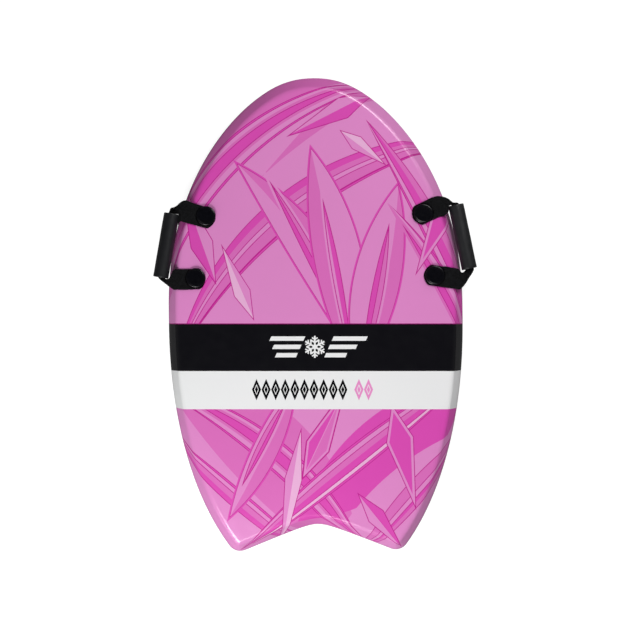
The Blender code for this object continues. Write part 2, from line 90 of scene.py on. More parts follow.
def half_outline():
    half = WIDTH / 2
    knot = np.array([110.0, 356.0])
    lean = math.radians(39.5)
    along = np.array([math.cos(lean), -math.sin(lean)])
    nose = bezier((0, LENGTH / 2), (37, LENGTH / 2), knot - 54 * along, knot, 160)
    shoulder = bezier(knot, knot + 54 * along, (half, 16 + 200), (half, 16), 400)
    y_wide = -10.0
    straight = np.array([(half, y) for y in np.linspace(15, y_wide, 12)])
    d = np.linspace(1.0, 415.0, 600)
    flank = np.stack([half * np.sqrt(1 - (d / 474.0) ** 2.086), y_wide - d], axis=1)
    side = np.vstack([nose, shoulder[1:], straight, flank])
    x = np.linspace(165.0, 0.0, 500)
    edge = np.stack([x, -LENGTH / 2 + NOTCH_DEPTH
                     - TAIL_SLOPE * (np.sqrt(x * x + NOTCH_ROUND ** 2) - NOTCH_ROUND)],
                    axis=1)
    r = CORNER_ROUND
    side_in = side + inward(side) * r
    edge_in = edge + inward(edge) * r
    low = side[:, 1] < -300
    gap = np.linalg.norm(side_in[low][:, None] - edge_in[None], axis=2)
    i, j = np.unravel_index(np.argmin(gap), gap.shape)
    i += int(np.argmax(low))
    centre = (side_in[i] + edge_in[j]) / 2
    a0 = math.atan2(*(side[i] - centre)[::-1])
    a1 = math.atan2(*(edge[j] - centre)[::-1])
    arc = np.array([centre + r * np.array([math.cos(a), math.sin(a)])
                    for a in np.linspace(a0, a1, 60)])
    return np.vstack([side[:i], arc, edge[j + 1:]]), i + 30


def sample_half():
    """Stations (x, y, inward x, inward y) on the right half: nose, side, tail."""
    pts, corner = half_outline()
    nrm = inward(pts)
    kernel = np.ones(5) / 5       # the outline's pieces meet in small kinks
    for c in (0, 1):
        nrm[2:-2, c] = np.convolve(nrm[:, c], kernel, mode="valid")
    nrm[0] = (0, -1)
    nrm[-1] = (0, 1)
    s = np.concatenate([[0], np.cumsum(np.linalg.norm(np.diff(pts, axis=0), axis=1))])
    top = s[int(np.argmin(abs(pts[:260, 1] - 312)))]
    tail = s[corner]

    def at(where):
        cols = [np.interp(where, s, c) for c in (*pts.T, *nrm.T)]
        out = np.stack(cols, axis=1)
        out[:, 2:] /= np.linalg.norm(out[:, 2:], axis=1)[:, None]
        return out

    def crowd(n, near_end, width, least):
        """n + 1 shares of a run, closer together next to the round corner."""
        k = np.arange(n)
        if near_end:
            k = k[::-1]
        t = np.clip(k / width, 0, 1)
        step = least + (1 - least) * t * t * (3 - 2 * t)
        return np.concatenate([[0], np.cumsum(step)]) / step.sum()

    nose = at(top * np.linspace(0, 1, GRID_U // 2 + 1))
    side = at(top + (tail - top) * crowd(GRID_V, True, 14, 0.16))
    edge = at(tail + (s[-1] - tail) * crowd(GRID_U // 2, False, 8, 0.38))
    return nose, side, edge


def full_loop():
    nose, side, edge = sample_half()
    mirror = np.array([-1, 1, -1, 1])
    tail = np.vstack([edge * mirror, edge[::-1][1:]])
    right = side[::-1][1:]
    top = np.vstack([nose[::-1][1:], (nose * mirror)[1:]])
    left = (side * mirror)[1:-1]
    return np.vstack([tail, right, top, left])


LOOP = full_loop()


def bottom_z(y):
    nose = np.clip((y - NOSE_KICK_FROM) / (LENGTH / 2 - NOSE_KICK_FROM), 0, None)
    tail = np.clip((TAIL_KICK_FROM - y) / (LENGTH / 2 + TAIL_KICK_FROM), 0, None)
    return NOSE_KICK * nose ** 1.8 + TAIL_KICK * tail ** 2


def thickness(y):
    nose = np.clip((y - NOSE_KICK_FROM) / (LENGTH / 2 - NOSE_KICK_FROM), 0, None)
    tail = np.clip((TAIL_KICK_FROM - y) / (LENGTH / 2 + TAIL_KICK_FROM), 0, None)
    return THICK - (THICK - THICK_NOSE) * nose ** 1.7 - (THICK - THICK_TAIL) * tail ** 2


def rail_inset(y):
    t = np.clip((y - 120.0) / 230.0, 0, 1)
    return RAIL_INSET + (RAIL_INSET_NOSE - RAIL_INSET) * t * t * (3 - 2 * t)


def ring_at(inset, drop=None, height=None):
    """A closed line round the board, by its inset and either its drop below
    the deck or its height over the bottom at the thickest place."""
    x, y, nx, ny = LOOP.T
    y_here = y + ny * inset
    thick = thickness(y_here)
    if drop is not None:
        z = bottom_z(y_here) + thick - drop
    else:
        z = bottom_z(y_here) + height * thick / THICK
    return np.stack([x + nx * inset, y_here, z], axis=1)


def rail_ring(t):
    """A line along the rail, from the deck's edge (0) to the side (1)."""
    weights = ((1 - t) ** 3, 3 * t * (1 - t) ** 2, 3 * t * t * (1 - t), t ** 3)
    inset, drop = (sum(w * p[k] for w, p in zip(weights, RAIL_CURVE)) for k in (0, 1))
    y = LOOP[:, 1]
    depth = np.minimum(RAIL_DEPTH, 0.68 * thickness(y))
    return ring_at(rail_inset(y) * inset, drop=depth * drop)


def deck_rings():
    """Deck edge, the softened crease, the rail's rounding and its side."""
    crease = rail_inset(LOOP[:, 1])
    flat = ring_at(crease + 6.4, drop=0.0)
    knee, first = ring_at(crease, drop=0.0), rail_ring(0.17)
    rings = [flat]
    for t in (0.14, 0.27, 0.39, 0.5, 0.6, 0.7, 0.79, 0.87, 0.94):
        rings.append((1 - t) ** 2 * flat + 2 * t * (1 - t) * knee + t * t * first)
    rings += [rail_ring(t) for t in (0.17, 0.25, 0.34, 0.43, 0.52, 0.62, 0.71, 0.8, 0.88, 1.0)]
    low = ring_at(1.6, height=SEAM + 0.2)
    last = rings[-1]
    for t in (0.25, 0.5, 0.75):
        mid = last * (1 - t) + low * t
        mid[:, :2] -= LOOP[:, 2:] * 0.8 * math.sin(math.pi * t)
        rings.append(mid)
    rings.append(low)
    return rings


def slick_rings():
    knots = [(1.6, SEAM - 0.2), (1.85, 5.8), (3.9, 2.4), (7.4, 0.6), (12.0, 0.0), (18.0, 0.0)]
    knots = [np.array(k) for k in knots]
    line = []
    for i in range(len(knots) - 2):
        p0 = knots[max(i - 1, 0)]
        p1, p2, p3 = knots[i], knots[i + 1], knots[i + 2]
        for t in np.linspace(0, 1, 4)[:-1]:
            line.append(0.5 * (2 * p1 + (p2 - p0) * t + (2 * p0 - 5 * p1 + 4 * p2 - p3) * t * t
                               + (3 * p1 - p0 - 3 * p2 + p3) * t ** 3))
    line.append(knots[-2])
    return [ring_at(a, height=max(b, 0.0)) for a, b in line]


def patch(loop_xy, height):
    nu, nv = GRID_U, GRID_V
    low = loop_xy[:nu + 1]
    right = loop_xy[nu:nu + nv + 1]
    high = loop_xy[nu + nv:2 * nu + nv + 1][::-1]
    left = np.vstack([loop_xy[2 * nu + nv:], loop_xy[:1]])[::-1]
    u = np.linspace(0, 1, nu + 1)[:, None, None]
    v = np.linspace(0, 1, nv + 1)[None, :, None]
    xy = ((1 - v) * low[:, None] + v * high[:, None] + (1 - u) * left[None] + u * right[None]
          - (1 - u) * (1 - v) * low[0] - u * (1 - v) * low[-1]
          - (1 - u) * v * high[0] - u * v * high[-1])
    return np.concatenate([xy, height(xy[..., 1])[..., None]], axis=2)


# ---------------------------------------------------------------- mesh tools
def add_object(name, mesh, mat=None):
    obj = bpy.data.objects.new(name, mesh)
    bpy.context.scene.collection.objects.link(obj)
    if mat is not None:
        mesh.materials.append(mat)
    return obj


def mesh_from(name, verts, faces, uvs=None, uv_name="print"):
    """A mesh in metres from points in mm; uvs holds one (u, v) per point."""
    mesh = bpy.data.meshes.new(name)
    mesh.from_pydata([tuple(c * MM for c in v) for v in verts], [], [tuple(f) for f in faces])
    if uvs is not None:
        layer = mesh.uv_layers.new(name=uv_name)
        index = np.empty(len(mesh.loops), np.int32)
        mesh.loops.foreach_get("vertex_index", index)
        layer.uv.foreach_set("vector", (np.asarray(uvs, float)[index] * MM)
                             .astype(np.float32).ravel())
    return mesh


def outward(mesh):
    bm = bmesh.new()
    bm.from_mesh(mesh)
    bmesh.ops.recalc_face_normals(bm, faces=bm.faces[:])
    bm.to_mesh(mesh)
    bm.free()


def smooth(mesh, angle=32.0):
    mesh.shade_smooth()
    mesh.set_sharp_from_angle(angle=math.radians(angle))


def settle(obj):
    """Makes the object's modifiers part of its mesh."""
    bpy.context.view_layer.update()
    graph = bpy.context.evaluated_depsgraph_get()
    mesh = bpy.data.meshes.new_from_object(obj.evaluated_get(graph))
    obj.modifiers.clear()
    obj.data = mesh
    return obj


def lathe(profile, steps=96):
    """Points and faces of a closed (radius, z) profile turned round z."""
    verts, faces, rows = [], [], []
    for r, z in profile:
        if r < 1e-6:
            rows.append([len(verts)] * steps)
            verts.append((0.0, 0.0, z))
        else:
            rows.append(list(range(len(verts), len(verts) + steps)))
            verts += [(r * math.cos(2 * math.pi * k / steps),
                       r * math.sin(2 * math.pi * k / steps), z) for k in range(steps)]
    closed = profile[0][0] > 1e-6
    pairs = list(zip(rows, rows[1:])) + ([(rows[-1], rows[0])] if closed else [])
    for a, b in pairs:
        for k in range(steps):
            m = (k + 1) % steps
            f = []
            for v in (a[k], a[m], b[m], b[k]):
                if v not in f:
                    f.append(v)
            if len(f) > 2:
                faces.append(f)
    return verts, faces


def cut_with(obj, *cutters):
    for cutter in cutters:
        mod = obj.modifiers.new("cut", 'BOOLEAN')
        mod.operation = 'DIFFERENCE'
        mod.solver = 'EXACT'
        mod.object = cutter
    settle(obj)
    for cutter in cutters:
        bpy.data.objects.remove(cutter, do_unlink=True)


def round_cutter(x, y, radius, low, high, steps=64):
    verts, faces = lathe([(0, high), (radius, high), (radius, low), (0, low)], steps)
    mesh = mesh_from("cutter", [(a + x, b + y, c) for a, b, c in verts], faces)
    outward(mesh)
    obj = add_object("cutter", mesh)
    obj.hide_render = True
    return obj


def round_off(profile, where, radius, steps=4):
    """The profile with one corner replaced by an arc."""
    a, b, c = (np.array(profile[k], float) for k in (where - 1, where, where + 1))
    ab, cb = (a - b) / np.linalg.norm(a - b), (c - b) / np.linalg.norm(c - b)
    half = math.acos(np.clip(ab @ cb, -1, 1)) / 2
    back = radius / math.tan(half)
    p, q = b + ab * back, b + cb * back
    mid = b + (ab + cb) / np.linalg.norm(ab + cb) * radius / math.sin(half)
    a0 = math.atan2(*(p - mid)[::-1])
    a1 = math.atan2(*(q - mid)[::-1])
    if a1 - a0 > math.pi:
        a1 -= 2 * math.pi
    if a0 - a1 > math.pi:
        a1 += 2 * math.pi
    arc = [tuple(mid + radius * np.array([math.cos(t), math.sin(t)]))
           for t in np.linspace(a0, a1, steps + 1)]
    return profile[:where] + arc + profile[where + 1:]


# ------------------------------------------------------------ material tools
def srgb(r, g, b):
    out = []
    for c in (r, g, b):
        c /= 255.0
        out.append(c / 12.92 if c <= 0.04045 else ((c + 0.055) / 1.055) ** 2.4)
    return tuple(out)


class Graph:
    """A thin layer over a node tree that wires nodes as they are made."""

    def __init__(self, tree):
        self.tree = tree
        self.count = 0

    def new(self, kind, **props):
        node = self.tree.nodes.new(kind)
        node.location = (200 * (self.count % 60), -220 * (self.count // 60))
        self.count += 1
        for key, value in props.items():
            setattr(node, key, value)
        return node

    def put(self, socket, value):
        if isinstance(value, bpy.types.NodeSocket):
            self.tree.links.new(value, socket)
        else:
            socket.default_value = value

    def math(self, op, *args, clamp=False):
        node = self.new("ShaderNodeMath", operation=op, use_clamp=clamp)
        for socket, value in zip(node.inputs, args):
            self.put(socket, value)
        return node.outputs[0]

    def vec(self, op, *args):
        node = self.new("ShaderNodeVectorMath", operation=op)
        if op == 'SCALE':
            self.put(node.inputs[0], args[0])
            self.put(node.inputs["Scale"], args[1])
        else:
            for socket, value in zip(node.inputs, args):
                self.put(socket, value)
        return node.outputs["Value" if op in ('DISTANCE', 'LENGTH', 'DOT_PRODUCT') else "Vector"]

    def mix(self, factor, a, b):
        node = self.new("ShaderNodeMix", data_type='FLOAT')
        self.put(node.inputs[0], factor)
        self.put(node.inputs[2], a)
        self.put(node.inputs[3], b)
        return node.outputs[0]

    def blend(self, factor, a, b, how='MIX'):
        node = self.new("ShaderNodeMix", data_type='RGBA', blend_type=how)
        self.put(node.inputs[0], factor)
        self.put(node.inputs[6], a)
        self.put(node.inputs[7], b)
        return node.outputs[2]

    def split(self, vector):
        node = self.new("ShaderNodeSeparateXYZ")
        self.put(node.inputs[0], vector)
        return node.outputs[0], node.outputs[1], node.outputs[2]

    def join(self, x, y, z=0.0):
        node = self.new("ShaderNodeCombineXYZ")
        for socket, value in zip(node.inputs, (x, y, z)):
            self.put(socket, value)
        return node.outputs[0]

    def noise(self, vector, scale, detail=2.0, rough=0.5, stretch=None):
        if stretch:
            vector = self.vec('MULTIPLY', vector, stretch)
        node = self.new("ShaderNodeTexNoise")
        self.put(node.inputs["Vector"], vector)
        node.inputs["Scale"].default_value = scale
        node.inputs["Detail"].default_value = detail
        node.inputs["Roughness"].default_value = rough
        return node.outputs[0]

    def voronoi(self, vector, scale, feature='F1', out="Distance", jitter=1.0):
        node = self.new("ShaderNodeTexVoronoi", feature=feature)
        self.put(node.inputs["Vector"], vector)
        node.inputs["Scale"].default_value = scale
        node.inputs["Randomness"].default_value = jitter
        return node.outputs[out]

    def ramp(self, factor, stops, how='LINEAR'):
        node = self.new("ShaderNodeValToRGB")
        line = node.color_ramp
        line.interpolation = how
        while len(line.elements) < len(stops):
            line.elements.new(1.0)
        for element, (place, colour) in zip(line.elements, stops):
            element.position = place
            element.color = (*colour, 1.0)
        self.put(node.inputs[0], factor)
        return node.outputs[0]

    def span(self, value, low, high, to_low=0.0, to_high=1.0, smooth_step=False):
        node = self.new("ShaderNodeMapRange")
        node.interpolation_type = 'SMOOTHSTEP' if smooth_step else 'LINEAR'
        for socket, v in zip(node.inputs, (value, low, high, to_low, to_high)):
            self.put(socket, v)
        return node.outputs[0]

    def bump(self, height, strength, distance, normal=None):
        node = self.new("ShaderNodeBump")
        node.inputs["Strength"].default_value = strength
        node.inputs["Distance"].default_value = distance
        self.put(node.inputs["Height"], height)
        if normal is not None:
            self.put(node.inputs["Normal"], normal)
        return node.outputs[0]

    def place(self):
        """The point on the object, in mm."""
        node = self.new("ShaderNodeTexCoord")
        return self.vec('SCALE', node.outputs["Object"], 1000.0)

    def uv(self, name):
        """The named map, in mm."""
        node = self.new("ShaderNodeUVMap", uv_map=name)
        return self.vec('SCALE', node.outputs[0], 1000.0)


def new_material(name, colour, roughness, specular=0.5, viewport=None):
    mat = bpy.data.materials.new(name)
    mat.use_nodes = True
    mat.diffuse_color = (*colour, 1.0)
    g = Graph(mat.node_tree)
    bsdf = mat.node_tree.nodes["Principled BSDF"]
    bsdf.inputs["Base Color"].default_value = (*colour, 1.0)
    bsdf.inputs["Roughness"].default_value = roughness
    bsdf.inputs["Specular IOR Level"].default_value = specular
    return mat, g, bsdf


# ----------------------------------------------------------------- the print
# tones: 0 palest, 1 light, 2 mid, 3 deep, 4 line
PALEST, LIGHT, MIDDLE, DEEP, LINE = range(5)
TONES = [srgb(226, 172, 210), srgb(216, 134, 194), srgb(211, 107, 181),
         srgb(211, 75, 173), srgb(186, 38, 140)]

BLACK_BAND = (-94.9, -15.6)
WHITE_BAND = (-159.3, -94.9)


def arc_terms(a, b, bulge):
    """Circle through the two tips whose middle stands 'bulge' to the left of
    the line a to b: centre, and the factors that make a signed distance which
    is negative on the arc's right-hand side."""
    a, b = np.array(a, float), np.array(b, float)
    half = np.linalg.norm(b - a) / 2
    along = (b - a) / (2 * half)
    left = np.array([-along[1], along[0]])
    if abs(bulge) < 0.004 * half:
        bulge = math.copysign(0.004 * half, bulge or 1.0)
    radius = (half * half + bulge * bulge) / (2 * abs(bulge))
    sign = math.copysign(1.0, bulge)
    centre = (a + b) / 2 + left * (bulge - sign * radius)
    return tuple(centre), sign, -sign * radius


def blade_group():
    """One curved blade between two tips: a rim, a line, and two tones that
    meet on a rib."""
    tree = bpy.data.node_groups.new("blade", "ShaderNodeTree")
    sockets = [("Tone", "NodeSocketFloat"), ("Place", "NodeSocketVector")]
    for k in "ABC":
        sockets += [("Centre " + k, "NodeSocketVector"), ("Sign " + k, "NodeSocketFloat"),
                    ("Shift " + k, "NodeSocketFloat")]
    sockets += [(s, "NodeSocketFloat") for s in
                ("Rim tone", "Rim width", "Line tone", "Line width",
                 "Left tone", "Right tone", "Rib width")]
    for name, kind in sockets:
        tree.interface.new_socket(name, in_out='INPUT', socket_type=kind)
    tree.interface.new_socket("Tone", in_out='OUTPUT', socket_type="NodeSocketFloat")
    g = Graph(tree)
    gi, go = g.new("NodeGroupInput"), g.new("NodeGroupOutput")
    src = {s.name: s for s in gi.outputs}

    def arc(k):
        far = g.vec('DISTANCE', src["Place"], src["Centre " + k])
        return g.math('MULTIPLY_ADD', far, src["Sign " + k], src["Shift " + k])

    inside = g.math('MAXIMUM', arc("A"), arc("B"))
    tone = g.mix(g.math('LESS_THAN', inside, 0.0), src["Tone"], src["Rim tone"])
    deep = g.math('ADD', inside, src["Rim width"])
    tone = g.mix(g.math('LESS_THAN', deep, 0.0), tone, src["Line tone"])
    rib = arc("C")
    fill = g.mix(g.math('LESS_THAN', rib, 0.0), src["Left tone"], src["Right tone"])
    fill = g.mix(g.math('LESS_THAN', g.math('ABSOLUTE', rib), src["Rib width"]),
                 fill, src["Line tone"])
    deep = g.math('ADD', deep, src["Line width"])
    tone = g.mix(g.math('LESS_THAN', deep, 0.0), tone, fill)
    g.put(go.inputs[0], tone)
    return tree


def shard_group():
    """One straight kite with a ridge: light on one side, dark on the other."""
    tree = bpy.data.node_groups.new("shard", "ShaderNodeTree")
    sockets = [("Tone", "NodeSocketFloat"), ("Place", "NodeSocketVector"),
               ("Tip", "NodeSocketVector"), ("Along", "NodeSocketVector"),
               ("Across", "NodeSocketVector"), ("Front edge", "NodeSocketVector"),
               ("Back edge", "NodeSocketVector"), ("Back shift", "NodeSocketFloat")]
    sockets += [(s, "NodeSocketFloat") for s in
                ("Rim tone", "Rim width", "Line tone", "Line width",
                 "Left tone", "Right tone", "Rib width")]
    for name, kind in sockets:
        tree.interface.new_socket(name, in_out='INPUT', socket_type=kind)
    tree.interface.new_socket("Tone", in_out='OUTPUT', socket_type="NodeSocketFloat")
    g = Graph(tree)
    gi, go = g.new("NodeGroupInput"), g.new("NodeGroupOutput")
    src = {s.name: s for s in gi.outputs}
    rel = g.vec('SUBTRACT', src["Place"], src["Tip"])
    u = g.vec('DOT_PRODUCT', rel, src["Along"])
    v = g.vec('DOT_PRODUCT', rel, src["Across"])
    folded = g.join(u, g.math('ABSOLUTE', v), 0.0)
    front = g.vec('DOT_PRODUCT', folded, src["Front edge"])
    back = g.math('ADD', g.vec('DOT_PRODUCT', folded, src["Back edge"]), src["Back shift"])
    inside = g.math('MAXIMUM', front, back)
    tone = g.mix(g.math('LESS_THAN', inside, 0.0), src["Tone"], src["Rim tone"])
    deep = g.math('ADD', inside, src["Rim width"])
    tone = g.mix(g.math('LESS_THAN', deep, 0.0), tone, src["Line tone"])
    fill = g.mix(g.math('LESS_THAN', v, 0.0), src["Left tone"], src["Right tone"])
    fill = g.mix(g.math('LESS_THAN', g.math('ABSOLUTE', v), src["Rib width"]),
                 fill, src["Line tone"])
    deep = g.math('ADD', deep, src["Line width"])
    tone = g.mix(g.math('LESS_THAN', deep, 0.0), tone, fill)
    g.put(go.inputs[0], tone)
    return tree


FINISH = {   # rim tone, rim width, line tone, line width, left, right, rib width
    "veil": (MIDDLE, 0.0, MIDDLE, 0.0, MIDDLE, MIDDLE, 0.0),
    "mist": (PALEST, 0.0, PALEST, 0.0, PALEST, PALEST, 0.0),
    "calm": (LIGHT, 0.0, LIGHT, 0.0, LIGHT, LIGHT, 0.0),
    "full": (DEEP, 0.0, DEEP, 0.0, DEEP, DEEP, 0.0),
    "fine": (LINE, 1.2, DEEP, 0.0, DEEP, DEEP, 0.0),
    "band": (LINE, 1.3, MIDDLE, 0.0, MIDDLE, MIDDLE, 0.0),
    "wide": (MIDDLE, 4.0, LINE, 1.3, DEEP, DEEP, 0.0),
    "duo": (LINE, 1.3, MIDDLE, 0.0, MIDDLE, DEEP, 0.6),
    "duo2": (LINE, 1.3, DEEP, 0.0, DEEP, MIDDLE, 0.6),
    "leaf": (DEEP, 2.6, LINE, 0.9, LIGHT, MIDDLE, 0.0),
    "leaf2": (DEEP, 2.6, LINE, 0.9, MIDDLE, LIGHT, 0.0),
    "gem": (LIGHT, 3.4, LINE, 1.4, LIGHT, DEEP, 0.0),
    "deep": (LIGHT, 4.0, LINE, 1.4, DEEP, MIDDLE, 0.6),
    "glint": (LINE, 1.3, PALEST, 0.0, PALEST, LIGHT, 0.6),
    "split": (LINE, 1.4, DEEP, 0.0, DEEP, LIGHT, 0.7),
    "frame": (LINE, 2.2, LIGHT, 3.4, DEEP, MIDDLE, 0.7),
    "nest": (LINE, 1.4, LIGHT, 4.0, DEEP, DEEP, 0.0),
}


def artwork():
    """The print's pieces, lowest first: kind, tip, tip, bulges of the two
    edges and of the rib (for a shard: half width and where it is widest),
    finish."""
    out = []

    def blade(a, b, one, two, rib, finish):
        out.append(("blade", a, b, one, two, rib, finish))

    def shard(a, b, half, widest, finish):
        out.append(("shard", a, b, half, widest, 0.0, finish))

    def ribbon(a, b, start, *stripes):
        at = start
        for width, finish in stripes:
            blade(a, b, at + width, at, at + width / 2, finish)
            at += width

    # upper field: large quiet forms, and ribbons that rise from the left
    blade((-290, -40), (170, 400), 210, 60, 140, "veil")
    blade((-250, 40), (60, 400), 70, 6, 30, "calm")
    ribbon((-290, -110), (150, 400), 112, (5, "fine"), (9, "calm"), (26, "wide"), (6, "calm"),
           (5, "fine"))
    ribbon((-236, -80), (260, 300), 62, (5, "fine"), (20, "band"), (7, "calm"), (24, "duo2"))
    # leaves that open out of the black band
    blade((96, -120), (-140, 262), 6, -66, -30, "leaf")
    blade((96, -120), (-96, 256), 6, -22, -8, "deep")
    blade((70, -110), (-10, 288), 34, -52, -2, "leaf2")
    blade((66, -110), (6, 226), 10, -12, 0, "gem")
    blade((70, -110), (140, 226), 44, -40, -14, "leaf")
    blade((74, -110), (128, 178), 12, -16, -2, "deep")
    # ribbons from the right rim
    ribbon((300, -110), (84, 330), -40, (26, "duo2"), (7, "calm"), (5, "fine"))
    ribbon((300, -150), (120, 190), -36, (5, "fine"), (7, "calm"), (20, "wide"))
    shard((-168, 50), (-226, 214), 20, 0.42, "split")
    shard((100, 376), (-50, 300), 19, 0.36, "split")
    shard((40, 312), (120, 252), 13, 0.36, "glint")
    shard((-104, -10), (-160, 120), 15, 0.36, "glint")
    shard((236, 214), (168, 66), 19, 0.34, "nest")
    # lower field
    blade((-270, -90), (70, -440), 110, -30, 50, "veil")
    blade((280, -100), (-30, -350), -60, 60, 0, "full")
    blade((262, -190), (20, -400), -30, 30, 0, "calm")
    ribbon((-268, -120), (96, -440), 20, (5, "fine"), (8, "calm"), (26, "wide"), (5, "calm"),
           (5, "fine"))
    ribbon((-262, -190), (20, -430), -24, (20, "duo"), (6, "calm"), (5, "fine"))
    ribbon((272, -90), (-130, -410), -30, (5, "fine"), (7, "calm"), (22, "duo2"), (5, "mist"),
           (5, "fine"))
    ribbon((282, -180), (60, -430), -24, (18, "band"), (6, "calm"), (14, "duo"))
    blade((-30, -100), (-150, -350), 30, -18, 6, "leaf2")
    blade((-36, -120), (-134, -310), 8, -14, -2, "deep")
    shard((-24, -280), (52, -120), 22, 0.36, "frame")
    shard((128, -150), (170, -330), 24, 0.34, "nest")
    shard((-24, -190), (-60, -420), 15, 0.38, "glint")
    shard((70, -300), (150, -400), 16, 0.4, "split")
    return out


def print_tone(g, place):
    tone = 1.0
    groups = {"blade": blade_group(), "shard": shard_group()}
    for kind, a, b, one, two, three, finish in artwork():
        node = g.new("ShaderNodeGroup")
        node.node_tree = groups[kind]
        into = node.inputs
        g.put(into["Tone"], tone)
        g.put(into["Place"], place)
        if kind == "blade":
            outer, inner = max(one, two), min(one, two)
            for k, bulge, flip in (("A", outer, 1), ("B", inner, -1), ("C", three, 1)):
                centre, sign, shift = arc_terms(a, b, bulge)
                into["Centre " + k].default_value = (*centre, 0.0)
                into["Sign " + k].default_value = sign * flip
                into["Shift " + k].default_value = shift * flip
        else:
            pa, pb = np.array(a, float), np.array(b, float)
            length = np.linalg.norm(pb - pa)
            along = (pb - pa) / length
            widest = two * length
            front = np.array([-one, widest]) / math.hypot(one, widest)
            back = np.array([one, length - widest]) / math.hypot(one, length - widest)
            into["Tip"].default_value = (*pa, 0.0)
            into["Along"].default_value = (*along, 0.0)
            into["Across"].default_value = (-along[1], along[0], 0.0)
            into["Front edge"].default_value = (*front, 0.0)
            into["Back edge"].default_value = (*back, 0.0)
            into["Back shift"].default_value = -back[0] * length
        for name, value in zip(("Rim tone", "Rim width", "Line tone", "Line width",
                                "Left tone", "Right tone", "Rib width"), FINISH[finish]):
            into[name].default_value = value
        tone = node.outputs[0]
    return tone


def crystal_group():
    """A six-armed snow crystal: 1 on it, 0 off it."""
    tree = bpy.data.node_groups.new("crystal", "ShaderNodeTree")
    for name, kind in (("Place", "NodeSocketVector"), ("Centre", "NodeSocketVector"),
                       ("Size", "NodeSocketFloat")):
        tree.interface.new_socket(name, in_out='INPUT', socket_type=kind)
    tree.interface.new_socket("Mask", in_out='OUTPUT', socket_type="NodeSocketFloat")
    g = Graph(tree)
    gi, go = g.new("NodeGroupInput"), g.new("NodeGroupOutput")
    rel = g.vec('SUBTRACT', gi.outputs["Place"], gi.outputs["Centre"])
    x, y, _ = g.split(rel)
    x, y = (g.math('DIVIDE', c, gi.outputs["Size"]) for c in (x, y))
    flat = g.join(x, y, 0.0)
    far = g.vec('LENGTH', flat)
    turn = g.math('ARCTAN2', x, y)
    turn = g.math('ADD', turn, math.pi / 6 + 2 * math.pi)
    turn = g.math('MODULO', turn, math.pi / 3)
    turn = g.math('ABSOLUTE', g.math('SUBTRACT', turn, math.pi / 6))
    u = g.math('MULTIPLY', far, g.math('COSINE', turn))
    v = g.math('MULTIPLY', far, g.math('SINE', turn))
    mask = g.math('MULTIPLY', g.math('LESS_THAN', v, 0.075), g.math('LESS_THAN', u, 1.0))
    c, s = math.cos(math.radians(58)), math.sin(math.radians(58))
    for start, long, thick in ((0.40, 0.46, 0.066), (0.68, 0.30, 0.060)):
        along = g.math('ADD', g.math('MULTIPLY', g.math('SUBTRACT', u, start), c),
                       g.math('MULTIPLY', v, s))
        across = g.math('SUBTRACT', g.math('MULTIPLY', v, c),
                        g.math('MULTIPLY', g.math('SUBTRACT', u, start), s))
        twig = g.math('MULTIPLY', g.math('LESS_THAN', g.math('ABSOLUTE', across), thick),
                      g.math('LESS_THAN', along, long))
        mask = g.math('MAXIMUM', mask, g.math('MULTIPLY', twig,
                                              g.math('GREATER_THAN', along, 0.0)))
    core = g.math('LESS_THAN', u, 0.2)
    mask = g.math('MAXIMUM', mask, core)
    g.put(go.inputs[0], mask)
    return tree


CRYSTALS = [(-1.5, 18.6)]
CRYSTAL_Y = -54.0
BARS = [(14.0, 7.4, 81.5), (0.0, 7.4, 70.5), (-14.0, 7.4, 59.5)]   # y, height, reach
LOZENGE_Y, LOZENGE_H, LOZENGE_W = -126.2, 18.2, 7.7
LOZENGES = [(-100.0 + 16.2 * k, False) for k in range(10)] + [(73.0, True), (89.2, True)]


def in_range(g, value, low, high):
    return g.math('MULTIPLY', g.math('GREATER_THAN', value, low),
                  g.math('LESS_THAN', value, high))


